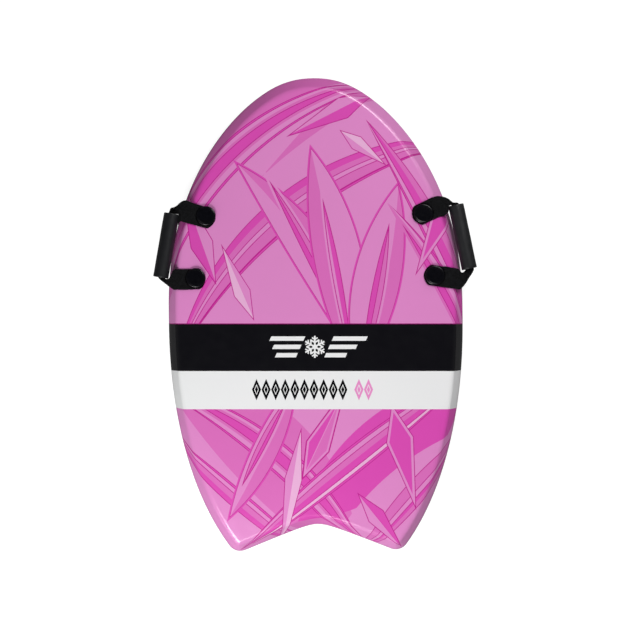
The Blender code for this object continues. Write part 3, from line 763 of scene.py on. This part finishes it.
def film_material():
    mat, g, bsdf = new_material("printed_film", srgb(214, 120, 186), 0.2, 0.52)
    uv = g.uv("print")
    x, y, _ = g.split(uv)
    lean = 0.0104
    px = g.math('MULTIPLY_ADD', y, -lean, x)
    py = g.math('MULTIPLY_ADD', x, lean, y)
    place = g.join(px, py, 0.0)
    tone = print_tone(g, place)
    stops = [(0.0, TONES[0])] + [((k - 0.5) / 5, TONES[k]) for k in range(1, 5)]
    colour = g.ramp(g.math('DIVIDE', tone, 5.0), stops, 'CONSTANT')
    # bands
    ink = (*srgb(13, 13, 17), 1.0)
    white = (*srgb(231, 232, 232), 1.0)
    edge = in_range(g, py, BLACK_BAND[1], BLACK_BAND[1] + 1.3)
    colour = g.blend(edge, colour, (*srgb(150, 30, 112), 1.0))
    colour = g.blend(in_range(g, py, *BLACK_BAND), colour, ink)
    colour = g.blend(in_range(g, py, *WHITE_BAND), colour, white)
    # snow crystals on the black band
    crystal = crystal_group()
    mask = None
    for cx, size in CRYSTALS:
        node = g.new("ShaderNodeGroup")
        node.node_tree = crystal
        g.put(node.inputs["Place"], place)
        node.inputs["Centre"].default_value = (cx, CRYSTAL_Y, 0.0)
        node.inputs["Size"].default_value = size
        mask = node.outputs[0] if mask is None else g.math('MAXIMUM', mask, node.outputs[0])
    lean = g.math('MULTIPLY_ADD', g.math('SUBTRACT', py, CRYSTAL_Y), -0.45, px)
    aside = g.math('ABSOLUTE', g.math('SUBTRACT', lean, CRYSTALS[0][0]))
    for by, tall, reach in BARS:
        off = g.math('ABSOLUTE', g.math('SUBTRACT', py, CRYSTAL_Y + by))
        bar = g.math('MULTIPLY', g.math('LESS_THAN', off, tall / 2),
                     in_range(g, aside, 24.0, reach))
        mask = g.math('MAXIMUM', mask, bar)
    colour = g.blend(mask, colour, white)
    # lozenge border on the white band
    high = g.math('DIVIDE', g.math('ABSOLUTE', g.math('SUBTRACT', py, LOZENGE_Y)), LOZENGE_H)
    for pink in (False, True):
        centres = [c for c, p in LOZENGES if p == pink]
        cell = g.math('SUBTRACT', px, centres[0] - 8.1)
        here = in_range(g, px, centres[0] - 8.1, centres[-1] + 8.1)
        cell = g.math('SUBTRACT', g.math('FLOORED_MODULO', cell, 16.2), 8.1)
        wide = g.math('DIVIDE', g.math('ABSOLUTE', cell), LOZENGE_W)
        d = g.math('ADD', wide, high)
        mask = g.math('MULTIPLY', here, g.math('LESS_THAN', d, 1.0))
        hole = in_range(g, d, 0.36, 0.50)
        mask = g.math('MULTIPLY', mask, g.math('SUBTRACT', 1.0, hole))
        tint = (*srgb(226, 140, 196), 1.0) if pink else ink
        colour = g.blend(mask, colour, tint)
    # slow unevenness of the foam below, and of the ink
    here = g.place()
    slow = g.noise(here, 0.012, 2.0, 0.5)
    colour = g.blend(g.span(slow, 0.3, 0.7, 0.0, 0.10), colour, (*srgb(238, 190, 222), 1.0),
                     'SOFT_LIGHT')
    g.put(bsdf.inputs["Base Color"], colour)
    rough = g.span(g.noise(here, 0.05, 3.0, 0.6), 0.3, 0.7, 0.17, 0.23)
    g.put(bsdf.inputs["Roughness"], rough)
    waves = g.noise(here, 0.03, 2.0, 0.45)
    pearls = g.noise(here, 0.35, 2.0, 0.5)
    height = g.math('ADD', g.math('MULTIPLY', waves, 1.0), g.math('MULTIPLY', pearls, 0.06))
    g.put(bsdf.inputs["Normal"], g.bump(height, 0.35, 0.0012))
    return mat


def slick_material():
    mat, g, bsdf = new_material("slick_sheet", (0.022, 0.022, 0.026), 0.3, 0.5)
    here = g.place()
    tint = g.noise(here, 0.02, 3.0, 0.5)
    g.put(bsdf.inputs["Base Color"],
          g.ramp(tint, [(0.3, (0.018, 0.018, 0.021)), (0.7, (0.030, 0.030, 0.035))]))
    streak = g.noise(here, 0.6, 3.0, 0.6, stretch=(1.0, 0.02, 1.0))
    g.put(bsdf.inputs["Roughness"], g.span(streak, 0.3, 0.75, 0.26, 0.42))
    height = g.math('ADD', g.noise(here, 0.12, 2.0, 0.5), g.math('MULTIPLY', streak, 0.2))
    g.put(bsdf.inputs["Normal"], g.bump(height, 0.25, 0.0008))
    return mat


def foam_material():
    mat, g, bsdf = new_material("bead_foam", (0.8, 0.8, 0.78), 0.8, 0.3)
    here = g.place()
    cell = g.voronoi(here, 0.32, 'DISTANCE_TO_EDGE')
    g.put(bsdf.inputs["Base Color"],
          g.ramp(cell, [(0.0, (0.60, 0.60, 0.58)), (0.12, (0.82, 0.82, 0.80)),
                        (1.0, (0.86, 0.86, 0.84))]))
    g.put(bsdf.inputs["Normal"], g.bump(g.span(cell, 0.0, 0.3, 0.0, 1.0), 0.6, 0.0006))
    return mat


def plastic_material():
    mat, g, bsdf = new_material("black_plastic", (0.0026, 0.0026, 0.004), 0.25, 0.30)
    here = g.place()
    tint = g.noise(here, 0.2, 2.0, 0.5)
    g.put(bsdf.inputs["Base Color"],
          g.ramp(tint, [(0.3, (0.0018, 0.0018, 0.0030)), (0.7, (0.0034, 0.0034, 0.0052))]))
    grain = g.noise(here, 3.2, 3.0, 0.6)
    g.put(bsdf.inputs["Roughness"], g.span(grain, 0.3, 0.7, 0.15, 0.21))
    g.put(bsdf.inputs["Normal"], g.bump(grain, 0.22, 0.00012))
    return mat


def webbing_material():
    mat, g, bsdf = new_material("black_webbing", (0.0036, 0.0037, 0.0043), 0.72, 0.08)
    uv = g.uv("weave")
    u, v, _ = g.split(uv)
    # chevrons: the warp crosses each weft pick one further along
    pick, warp = 1.5, 1.05
    side = g.math('PINGPONG', g.math('ADD', v, 20.0), 5.2)
    lead = g.math('MULTIPLY_ADD', side, 0.9, u)
    over = g.math('SINE', g.math('MULTIPLY', lead, 2 * math.pi / (2 * pick)))
    rope = g.math('ABSOLUTE', g.math('SINE', g.math('MULTIPLY', v, math.pi / warp)))
    thread = g.math('MULTIPLY', rope, g.math('MULTIPLY_ADD', over, 0.35, 0.65))
    fuzz = g.noise(g.place(), 2.2, 3.0, 0.65)
    height = g.math('MULTIPLY_ADD', fuzz, 0.35, thread)
    yarn = g.ramp(height, [(0.1, (0.0012, 0.0012, 0.0016)), (0.7, (0.0033, 0.0034, 0.0041)),
                           (1.2, (0.0062, 0.0064, 0.0073))])
    wear = g.span(g.noise(g.place(), 0.42, 2.0, 0.55), 0.36, 0.64, 0.35, 1.75)
    # painted contact shadow: the webbing is darkened to near black, with its specular turned off,
    # in a ring just outside each disc's edge, where the disc's shade falls
    x, y, _ = g.split(g.place())
    reach = None
    for px, py in (PLUG_FRONT, PLUG_REAR):
        dx = g.math('SUBTRACT', g.math('ABSOLUTE', x), px)
        dy = g.math('SUBTRACT', y, py)
        away = g.math('SQRT', g.math('ADD', g.math('MULTIPLY', dx, dx), g.math('MULTIPLY', dy, dy)))
        reach = away if reach is None else g.math('MINIMUM', reach, away)
    outside_painted_shadow = g.span(reach, DISC_R + 0.2, DISC_R + 1.7, 0.0, 1.0, True)
    tone = g.blend(1.0, yarn, wear, 'MULTIPLY')
    # the near-black colour here is the painted shadow round each disc
    g.put(bsdf.inputs["Base Color"], g.blend(outside_painted_shadow, (0.0002, 0.0002, 0.0003, 1.0), tone))
    g.put(bsdf.inputs["Specular IOR Level"], g.mix(outside_painted_shadow, 0.0, 0.08))
    g.put(bsdf.inputs["Roughness"], g.span(fuzz, 0.3, 0.7, 0.62, 0.82))
    g.put(bsdf.inputs["Normal"], g.bump(height, 0.8, 0.00028))
    bsdf.inputs["Sheen Weight"].default_value = 0.02
    bsdf.inputs["Sheen Roughness"].default_value = 0.5
    return mat


def grip_material():
    mat, g, bsdf = new_material("grip_foam", (0.0065, 0.0068, 0.0084), 0.44, 0.40)
    here = g.place()
    pores = g.voronoi(here, 1.5, 'F1')
    cloud = g.noise(here, 0.08, 3.0, 0.6)
    fine = g.noise(here, 1.8, 3.0, 0.65)
    g.put(bsdf.inputs["Base Color"],
          g.ramp(g.math('MULTIPLY_ADD', fine, 0.4, g.math('MULTIPLY', cloud, 0.6)),
                 [(0.35, (0.0050, 0.0053, 0.0066)), (0.65, (0.0080, 0.0084, 0.0102))]))
    g.put(bsdf.inputs["Roughness"], g.span(fine, 0.3, 0.7, 0.39, 0.49))
    height = g.math('ADD', g.math('MULTIPLY', fine, 0.6),
                    g.span(pores, 0.0, 0.35, -0.5, 0.4))
    g.put(bsdf.inputs["Normal"], g.bump(height, 0.30, 0.00022))
    return mat


def floor_material():
    mat, g, bsdf = new_material("studio_floor", (0.25, 0.25, 0.25), 0.6, 0.2)
    here = g.place()
    soft = g.noise(here, 0.002, 2.0, 0.5)
    g.put(bsdf.inputs["Base Color"],
          g.ramp(soft, [(0.3, (0.24, 0.24, 0.24)), (0.7, (0.26, 0.26, 0.26))]))
    bsdf.inputs["Emission Color"].default_value = (1.0, 1.0, 1.0, 1.0)
    seen = g.new("ShaderNodeLightPath").outputs["Is Camera Ray"]
    g.put(bsdf.inputs["Emission Strength"], g.math('MULTIPLY', seen, 0.9))
    return mat


FILM = film_material()
SLICK_MAT = slick_material()
FOAM = foam_material()
PLASTIC = plastic_material()
WEBBING = webbing_material()
GRIP = grip_material()


# --------------------------------------------------------------------- board
def sheet_mesh(name, rings, height, upper):
    """A grid inside the first ring, and faces between the rings.  The print
    goes on round the rail at its true length."""
    grid = patch(rings[0][:, :2], height)
    nu, nv = GRID_U, GRID_V
    verts = [tuple(grid[i, j]) for i in range(nu + 1) for j in range(nv + 1)]
    uvs = [tuple(grid[i, j, :2]) for i in range(nu + 1) for j in range(nv + 1)]
    key = lambda i, j: i * (nv + 1) + j
    faces = [(key(i, j), key(i + 1, j), key(i + 1, j + 1), key(i, j + 1))
             for i in range(nu) for j in range(nv)]
    line = ([key(i, 0) for i in range(nu)] + [key(nu, j) for j in range(nv)]
            + [key(i, nv) for i in range(nu, 0, -1)] + [key(0, j) for j in range(nv, 0, -1)])
    run = np.zeros(len(line))
    last = rings[0]
    start = rings[0][:, :2]
    for ring in rings[1:]:
        run += np.linalg.norm(ring - last, axis=1)
        base = len(verts)
        verts += [tuple(p) for p in ring]
        uvs += [tuple(p) for p in start - LOOP[:, 2:] * run[:, None]]
        n = len(line)
        faces += [(line[k], base + k, base + (k + 1) % n, line[(k + 1) % n]) for k in range(n)]
        line = list(range(base, base + n))
        last = ring
    mesh = mesh_from(name, verts, faces, uvs)
    outward(mesh)
    top = sum(p.normal.z * p.area for p in mesh.polygons)
    if (top < 0) == upper:
        mesh.flip_normals()
    return mesh


PLACES = {"front_left": (-PLUG_FRONT[0], PLUG_FRONT[1]),
          "rear_left": (-PLUG_REAR[0], PLUG_REAR[1]),
          "front_right": PLUG_FRONT,
          "rear_right": PLUG_REAR}


def shell(name, mesh, thick, mat, radius, low, high):
    obj = add_object(name, mesh, mat)
    mod = obj.modifiers.new("shell", 'SOLIDIFY')
    mod.thickness = thick * MM
    mod.offset = -1.0
    mod.use_even_offset = True
    settle(obj)
    cut_with(obj, *[round_cutter(x, y, radius, low, high) for x, y in PLACES.values()])
    smooth(obj.data, 40.0)
    return obj


deck = shell("deck_film", sheet_mesh("deck_film", deck_rings(),
                                     lambda y: bottom_z(y) + thickness(y), True),
             SKIN, FILM, BARREL_R + GAP, 30.0, 60.0)
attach(deck, "board")
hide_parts("deck_skin")

slick = shell("slick_base", sheet_mesh("slick_base", slick_rings()[::-1], bottom_z, False),
              SLICK, SLICK_MAT, FLANGE_R + GAP, -10.0, 20.0)
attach(slick, "board")
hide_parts("bottom_slick")

core = NODES["foam_core"]
core.data.materials.clear()
core.data.materials.append(FOAM)


# --------------------------------------------------------------------- plugs
def cap_profile():
    under = STRAP_Z + STRAP_T / 2 + GAP
    top = [(0.0, 49.74), (1.5, 49.75), (3.0, 49.80), (4.5, 49.87), (6.0, 49.90)]
    for r in (7.5, 9.0, 10.5, 12.0):
        top.append((r, 49.95 - 0.0012 * r * r))
    # a fine groove, then the rounded rim
    top += [(12.75, 49.72), (13.05, 49.44), (13.32, 49.44), (13.62, 49.58)]
    for a in np.linspace(84, 0, 9):
        t = math.radians(a)
        top.append((14.3 + 2.2 * math.cos(t), 47.5 + 2.2 * math.sin(t)))
    top += [(DISC_R, under + 0.3), (DISC_R - 0.3, under)]
    stud = [(STUD_R + 0.5, under), (STUD_R, under - 0.5)]
    z = under - 3.0
    while z > 9.0:
        stud += [(STUD_R - 0.05, z), (STUD_R - 0.55, z - 0.7), (STUD_R - 0.55, z - 1.1),
                 (STUD_R - 0.05, z - 1.8)]
        z -= 2.0
    stud += [(STUD_R - 0.5, 6.4), (STUD_R - 1.0, 6.0), (0.0, 6.0)]
    return top + stud


def base_profile():
    inner = [(0.0, 4.0), (BARREL_BORE - 0.3, 4.0), (BARREL_BORE, 4.3),
             (BARREL_BORE, THICK - 0.6), (BARREL_BORE + 0.5, THICK)]
    outer = [(BARREL_R - 0.5, THICK), (BARREL_R, THICK - 0.5), (BARREL_R, 3.4),
             (BARREL_R + 0.6, 2.8), (FLANGE_R - 0.3, 2.8), (FLANGE_R, 2.5)]
    low = [(FLANGE_R, GAP + 0.5), (FLANGE_R - 0.5, GAP), (13.6, GAP), (13.3, GAP + 0.5),
           (12.6, GAP + 0.5), (12.3, GAP), (0.0, GAP)]
    return inner + outer + low


for where, (x, y) in PLACES.items():
    verts, faces = lathe(cap_profile())
    mesh = mesh_from("plug_" + where, [(a + x, b + y, c) for a, b, c in verts], faces)
    outward(mesh)
    smooth(mesh, 30.0)
    cap = add_object("plug_top_" + where, mesh, PLASTIC)
    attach(cap, "board")
    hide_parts("plug_cap_" + where)

    verts, faces = lathe(base_profile())
    mesh = mesh_from("socket_" + where, [(a + x, b + y, c) for a, b, c in verts], faces)
    outward(mesh)
    base = add_object("plug_socket_" + where, mesh, PLASTIC)
    slot = bmesh.new()
    bmesh.ops.create_cube(slot, size=1.0)
    turn = Matrix.Rotation(math.radians(37 if x > 0 else -24) + y * 0.01, 4, 'Z')
    for v in slot.verts:
        v.co = turn @ Vector((v.co.x * 17.0 * MM, v.co.y * 2.2 * MM, v.co.z * 3.4 * MM))
        v.co += Vector((x * MM, y * MM, 0.0))
    mesh = bpy.data.meshes.new("cutter")
    slot.to_mesh(mesh)
    slot.free()
    cutter = add_object("cutter", mesh)
    cut_with(base, cutter)
    smooth(base.data, 30.0)
    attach(base, "board")
    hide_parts("plug_base_" + where)


# ------------------------------------------------------------------- handles
class Side:
    """Plan frame of one handle: p runs forward along the line through its two
    plugs, q runs outboard from that line."""

    def __init__(self, sign):
        self.sign = sign
        front = np.array([sign * PLUG_FRONT[0], PLUG_FRONT[1]])
        rear = np.array([sign * PLUG_REAR[0], PLUG_REAR[1]])
        self.mid = (front + rear) / 2
        self.half = np.linalg.norm(front - rear) / 2
        self.p = (front - rear) / np.linalg.norm(front - rear)
        self.q = np.array([self.p[1], -self.p[0]]) * sign
        if self.q[0] * sign < 0:
            self.q = -self.q

    def world(self, p, q, z):
        xy = self.mid + self.p * p + self.q * q
        return Vector((xy[0], xy[1], z))


# Stations between the hinge line and the grip's mouth: inner edge (p, q, z),
# outer edge (p, q, z), half thickness, and the height of the gathered pleats.
LF = [((34.8, 20.2, 45.3), (70.4, 20.2, 45.3), 1.0, 0.0),
      ((35.6, 28.5, 45.4), (72.0, 29.5, 45.4), 1.0, 0.0),
      ((36.4, 35.6, 45.6), (73.4, 36.6, 45.5), 1.0, 0.1),
      ((36.8, 41.2, 45.4), (72.2, 42.0, 45.2), 1.0, 0.4),
      ((30.0, 44.0, 45.2), (67.3, 47.8, 44.6), 1.0, 0.8),
      ((46.9, 44.7, 45.6), (62.4, 51.5, 43.6), 1.0, 1.2),
      ((48.1, 46.6, 44.6), (58.8, 56.0, 42.6), 1.0, 1.6),
      ((48.0, 49.8, 43.2), (56.6, 61.0, 42.2), 1.0, 1.9),
      ((47.9, 51.6, 42.6), (51.3, 62.3, 42.0), 1.0, 2.0)]
LR = [((-41.2, 20.2, 45.3), (-76.8, 20.2, 45.3), 1.0, 0.0),
      ((-42.6, 28.0, 45.4), (-77.9, 28.0, 45.4), 1.0, 0.0),
      ((-44.0, 35.8, 45.6), (-78.6, 33.6, 45.5), 1.0, 0.2),
      ((-48.6, 40.9, 45.8), (-77.0, 37.8, 44.8), 1.0, 0.7),
      ((-56.4, 42.7, 45.8), (-73.4, 44.8, 43.8), 1.0, 1.2),
      ((-61.6, 44.8, 45.2), (-69.1, 52.4, 42.8), 1.0, 1.6),
      ((-62.5, 47.6, 43.8), (-65.8, 58.6, 42.2), 1.0, 1.9),
      ((-62.5, 50.8, 42.6), (-63.2, 62.0, 42.0), 1.0, 2.0)]
RF = [((41.2, 20.2, 45.3), (77.6, 20.2, 45.3), 1.0, 0.0),
      ((42.8, 28.0, 45.4), (78.2, 28.4, 45.4), 1.0, 0.0),
      ((43.8, 34.6, 45.6), (76.4, 34.8, 45.5), 1.0, 0.2),
      ((46.6, 40.6, 46.0), (73.7, 41.2, 45.0), 1.0, 0.7),
      ((51.2, 43.6, 46.0), (69.9, 46.6, 44.2), 1.0, 1.2),
      ((57.0, 44.0, 45.6), (65.4, 50.0, 43.4), 1.0, 1.6),
      ((58.2, 45.8, 44.4), (62.4, 52.8, 42.6), 1.0, 1.9),
      ((58.2, 49.6, 43.0), (60.5, 60.6, 42.0), 1.0, 2.0)]
RR = [((-41.6, 20.2, 45.3), (-78.7, 20.2, 45.3), 1.0, 0.0),
      ((-44.5, 28.4, 45.4), (-81.4, 29.0, 45.4), 1.0, 0.0),
      ((-47.2, 37.6, 45.6), (-84.0, 37.2, 45.5), 1.0, 0.2),
      ((-51.4, 42.3, 45.8), (-80.8, 43.0, 44.8), 1.0, 0.7),
      ((-56.2, 45.1, 45.4), (-74.6, 50.0, 43.6), 1.0, 1.2),
      ((-56.5, 48.0, 44.2), (-68.0, 55.8, 42.8), 1.0, 1.6),
      ((-55.1, 50.5, 43.2), (-61.6, 62.2, 42.2), 1.0, 1.9),
      ((-53.8, 52.2, 42.6), (-55.2, 66.8, 42.0), 1.0, 2.0)]
GRIP_ENDS = {"left": (47.6, -62.0), "right": (57.8, -52.7)}
GRIP_TURN = {"left": 0.35, "right": 1.35}      # degrees, front end inboard
LEANS = {"left": (5.4, -12.4), "right": (15.0, -19.6)}      # front, rear
ASIDE = {"left": (-2.5, -1.7), "right": (0.9, -0.3)}
TAILS = {"left": (17.0, 16.7), "right": (19.1, 18.8)}       # past the plug's centre


def grip_line(label, p):
    """How far outboard the grip's axis is at p."""
    middle = sum(GRIP_ENDS[label]) / 2
    return GRIP_OUT - (p - middle) * math.tan(math.radians(GRIP_TURN[label]))


def tail_half(a, tail):
    """Half the strap's width at the distance a from the plug: its end is cut
    to a blunt curve."""
    near = max((-a - tail + TAIL_CURVE) / (TAIL_CURVE + 0.15), 0.0)
    return STRAP_W / 2 * (1.0 - near ** 1.6) ** 0.625


def tail_rows(plug_p, lean, aside, tail, forward):
    """Rows of the flat end under a plug, from its cut end to the hinge line."""
    b = math.radians(lean)
    e = np.array([math.sin(b), math.cos(b)])
    f = np.array([math.cos(b), -math.sin(b)])
    middle = np.array([plug_p, 0.0]) + f * aside
    f = f * forward
    rows = []
    for back in (0.0, 0.3, 1.0, 2.2, 3.8, 5.8, 8.0, 10.6, 14.0, 18.0, 22.0, 26.0, 30.4):
        a = back - tail
        half = tail_half(a, tail)
        t = 0.55 if back == 0.0 else 1.0
        inner = middle + e * a - f * half
        outer = middle + e * a + f * half
        rows.append(((*inner, STRAP_Z), (*outer, STRAP_Z), t, 0.0))
    return rows


def spread(rows, steps):
    """Rows interpolated with a smooth curve through the given ones."""
    knots = [np.array([*i, *o, t, g], float) for i, o, t, g in rows]
    knots = [2 * knots[0] - knots[1]] + knots + [2 * knots[-1] - knots[-2]]
    out = []
    for k in range(1, len(knots) - 2):
        p0, p1, p2, p3 = knots[k - 1:k + 3]
        d = [max(np.linalg.norm(b[:6] - a[:6]), 1e-6) ** 0.5
             for a, b in ((p0, p1), (p1, p2), (p2, p3))]
        m1 = p2 - p1 + d[1] * ((p1 - p0) / d[0] - (p2 - p0) / (d[0] + d[1]))
        m2 = p2 - p1 + d[1] * ((p3 - p2) / d[2] - (p3 - p1) / (d[1] + d[2]))
        for t in np.arange(steps) / steps:
            out.append((2 * t ** 3 - 3 * t * t + 1) * p1 + (t ** 3 - 2 * t * t + t) * m1
                       + (3 * t * t - 2 * t ** 3) * p2 + (t ** 3 - t * t) * m2)
    out.append(knots[-2])
    return [(tuple(r[:3]), tuple(r[3:6]), r[6], r[7]) for r in out]


ACROSS = 21        # points across the webbing


def strap_rows(label):
    side_front, side_rear = (LF, LR) if label == "left" else (RF, RR)
    half = Side(-1).half
    f_end, r_end = GRIP_ENDS[label]
    grip = [((p, grip_line(label, p) - 7.0, GRIP_Z), (p, grip_line(label, p) + 7.0, GRIP_Z),
             1.0, 2.0) for p in np.linspace(f_end - 6.0, r_end + 6.0, 7)]
    middle = spread(side_front + grip + side_rear[::-1], 5)
    front, rear = zip(LEANS[label], ASIDE[label], TAILS[label])
    return (tail_rows(half, *front, 1.0) + middle + tail_rows(-half, *rear, -1.0)[::-1])


def webbing_mesh(name, side, rows):
    verts, uvs, faces, loops = [], [], [], []
    run, last = 0.0, None
    e = 0.045
    across = np.concatenate([[-1.0], np.linspace(-1 + e, 1 - e, ACROSS - 2), [1.0]])
    for inner, outer, half_t, pleat in rows:
        a, b = side.world(*inner), side.world(*outer)
        mid, half_w = (a + b) / 2, (b - a).length / 2
        w = (b - a).normalized()
        n = w.cross(Vector((w.y, -w.x, 0.0)).normalized())
        if n.z < 0:
            n = -n
        run += (mid - last).length if last is not None else 0.0
        last = mid
        # the pleats' line, and its normal
        line = [Vector((half_w * s, pleat * (0.5 - 0.5 * math.cos(2 * math.pi * (s + 1)))
                        * (1.0 - 0.35 * s))) for s in across]
        top, low = [], []
        for k, point in enumerate(line):
            before, after = line[max(k - 1, 0)], line[min(k + 1, ACROSS - 1)]
            d = (after - before).normalized()
            normal = Vector((-d.y, d.x))
            t = half_t
            if k in (0, ACROSS - 1):
                t *= 0.42
            elif k in (1, 2, ACROSS - 3, ACROSS - 2):
                t *= 1.12            # selvedge
            top.append(point + normal * t)
            low.append(point - normal * t)
        ring = []
        for k, pt in list(enumerate(top)) + list(enumerate(low))[::-1]:
            ring.append(len(verts))
            verts.append(tuple(mid + w * pt.x + n * pt.y))
            uvs.append((run, across[k] * STRAP_W / 2))
        loops.append(ring)
    n = 2 * ACROSS
    for a, b in zip(loops, loops[1:]):
        faces += [(a[k], a[(k + 1) % n], b[(k + 1) % n], b[k]) for k in range(n)]
    for ring in (loops[0], loops[-1]):
        faces += [(ring[k], ring[k + 1], ring[n - 2 - k], ring[n - 1 - k])
                  for k in range(ACROSS - 1)]
    mesh = mesh_from(name, verts, faces, uvs, "weave")
    outward(mesh)
    return mesh


def grip_profile(length):
    h, ro, ri = length / 2, GRIP_OD / 2, GRIP_ID / 2
    points = []
    for a in np.linspace(0, 90, 5):              # outer lip
        t = math.radians(a)
        points.append((ro - 1.3 + 1.3 * math.sin(t), h - 1.3 + 1.3 * math.cos(t)))
    for z in np.linspace(h - 4, 4 - h, 25):
        points.append((ro, z))
    for a in np.linspace(90, 180, 5):
        t = math.radians(a)
        points.append((ro - 1.3 + 1.3 * math.sin(t), -h + 1.3 + 1.3 * math.cos(t)))
    for a in np.linspace(0, 90, 4):              # inner lip
        t = math.radians(a)
        points.append((ri + 0.8 - 0.8 * math.sin(t), -h + 0.8 - 0.8 * math.cos(t)))
    for z in np.linspace(5 - h, h - 5, 9):
        points.append((ri, z))
    for a in np.linspace(90, 0, 4):
        t = math.radians(a)
        points.append((ri + 0.8 - 0.8 * math.sin(t), h - 0.8 + 0.8 * math.cos(t)))
    return points


for label, sign in (("left", -1), ("right", 1)):
    side = Side(sign)
    mesh = webbing_mesh("hand_strap_" + label, side, strap_rows(label))
    strap = add_object("hand_strap_" + label, mesh, WEBBING)
    holes = [side.world(p, 0.0, 0.0) for p in (side.half, -side.half)]
    cut_with(strap, *[round_cutter(h.x, h.y, STUD_R + 0.5, 38.0, 52.0, 32) for h in holes])
    smooth(strap.data, 50.0)
    start, end = side.world(0.0, 17.0, HINGE_Z), side.world(0.0, 27.0, HINGE_Z)
    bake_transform(strap)
    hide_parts("strap_end_front_" + label, "strap_end_rear_" + label,
                "strap_loop_" + label)

    f_end, r_end = GRIP_ENDS[label]
    verts, faces = lathe(grip_profile(f_end - r_end), 72)
    # the foam is a little uneven
    shaped = []
    for vx, vy, vz in verts:
        a = math.atan2(vy, vx)
        r = math.hypot(vx, vy)
        if r > GRIP_OD / 2 - 0.6:
            r += 0.09 * math.sin(2 * a + 0.05 * vz + sign) + 0.07 * math.sin(0.13 * vz + 2 * sign)
            r -= 0.16
        shaped.append((r * math.cos(a), r * math.sin(a), vz))
    turn = math.radians(GRIP_TURN[label])
    along = side.p * math.cos(turn) - side.q * math.sin(turn)
    axis = Vector((along[0], along[1], 0.0)).to_track_quat('Z', 'Y')
    centre = side.world((f_end + r_end) / 2, GRIP_OUT, GRIP_Z)
    mesh = mesh_from("hand_grip_" + label,
                     [tuple(centre + axis @ Vector(v)) for v in shaped], faces)
    outward(mesh)
    smooth(mesh, 40.0)
    grip = add_object("hand_grip_" + label, mesh, GRIP)
    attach(grip, label + "_grip")
    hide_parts("grip_tube_" + label)


# -------------------------------------------------------------------- studio
def area_light(name, place, target, size, power, shape='RECTANGLE', tint=(1, 1, 1)):
    data = bpy.data.lights.new(name, 'AREA')
    data.shape = shape
    data.size, data.size_y = size
    data.energy = power
    data.color = tint
    obj = bpy.data.objects.new(name, data)
    bpy.context.scene.collection.objects.link(obj)
    obj.location = place
    obj.rotation_euler = (Vector(target) - Vector(place)).to_track_quat('-Z', 'Y').to_euler()
    return obj


half = 12.0
floor_mesh = bpy.data.meshes.new("studio_floor")
floor_mesh.from_pydata([(-half, -half, -0.0006), (half, -half, -0.0006),
                        (half, half, -0.0006), (-half, half, -0.0006)], [], [(0, 1, 2, 3)])
floor = add_object("studio_floor", floor_mesh, floor_material())

scene = bpy.context.scene
world = bpy.data.worlds.new("studio")
world.use_nodes = True
scene.world = world
wg = Graph(world.node_tree)
background = world.node_tree.nodes["Background"]
direction = wg.new("ShaderNodeTexCoord").outputs["Generated"]
_, _, up = wg.split(direction)
glow = wg.ramp(up, [(0.0, (0.08, 0.08, 0.08)), (0.45, (0.16, 0.16, 0.16)),
                    (0.85, (0.07, 0.07, 0.07)), (1.0, (0.015, 0.015, 0.015))])
wg.put(background.inputs["Color"], glow)
background.inputs["Strength"].default_value = 1.0


def softbox(name, azimuth, elevation, distance, size, power):
    a, e = math.radians(azimuth), math.radians(elevation)
    place = Vector((math.cos(a) * math.cos(e), math.sin(a) * math.cos(e), math.sin(e))) * distance
    return area_light(name, place, (0, 0, 0), size, power)


softbox("softbox_ne", 57.0, 48.0, 1.50, (0.56, 0.48), 10.0)
softbox("fill_ne", 50.0, 20.0, 2.6, (2.0, 0.9), 11.0)
softbox("softbox_sw", 249.0, 46.0, 1.55, (0.50, 0.48), 15.9)
softbox("fill_sw", 238.0, 20.0, 2.6, (2.0, 0.9), 14.5)

camera_data = bpy.data.cameras.new("camera")
camera_data.lens = 100.0
camera_data.sensor_width = 36.0
camera_data.clip_end = 60.0
camera = bpy.data.objects.new("camera", camera_data)
scene.collection.objects.link(camera)
camera.location = (-0.0012, -0.00015, 3.0)
camera.rotation_euler = (0.0, 0.0, math.radians(-0.597))
scene.camera = camera
scene.view_settings.view_transform = 'Standard'
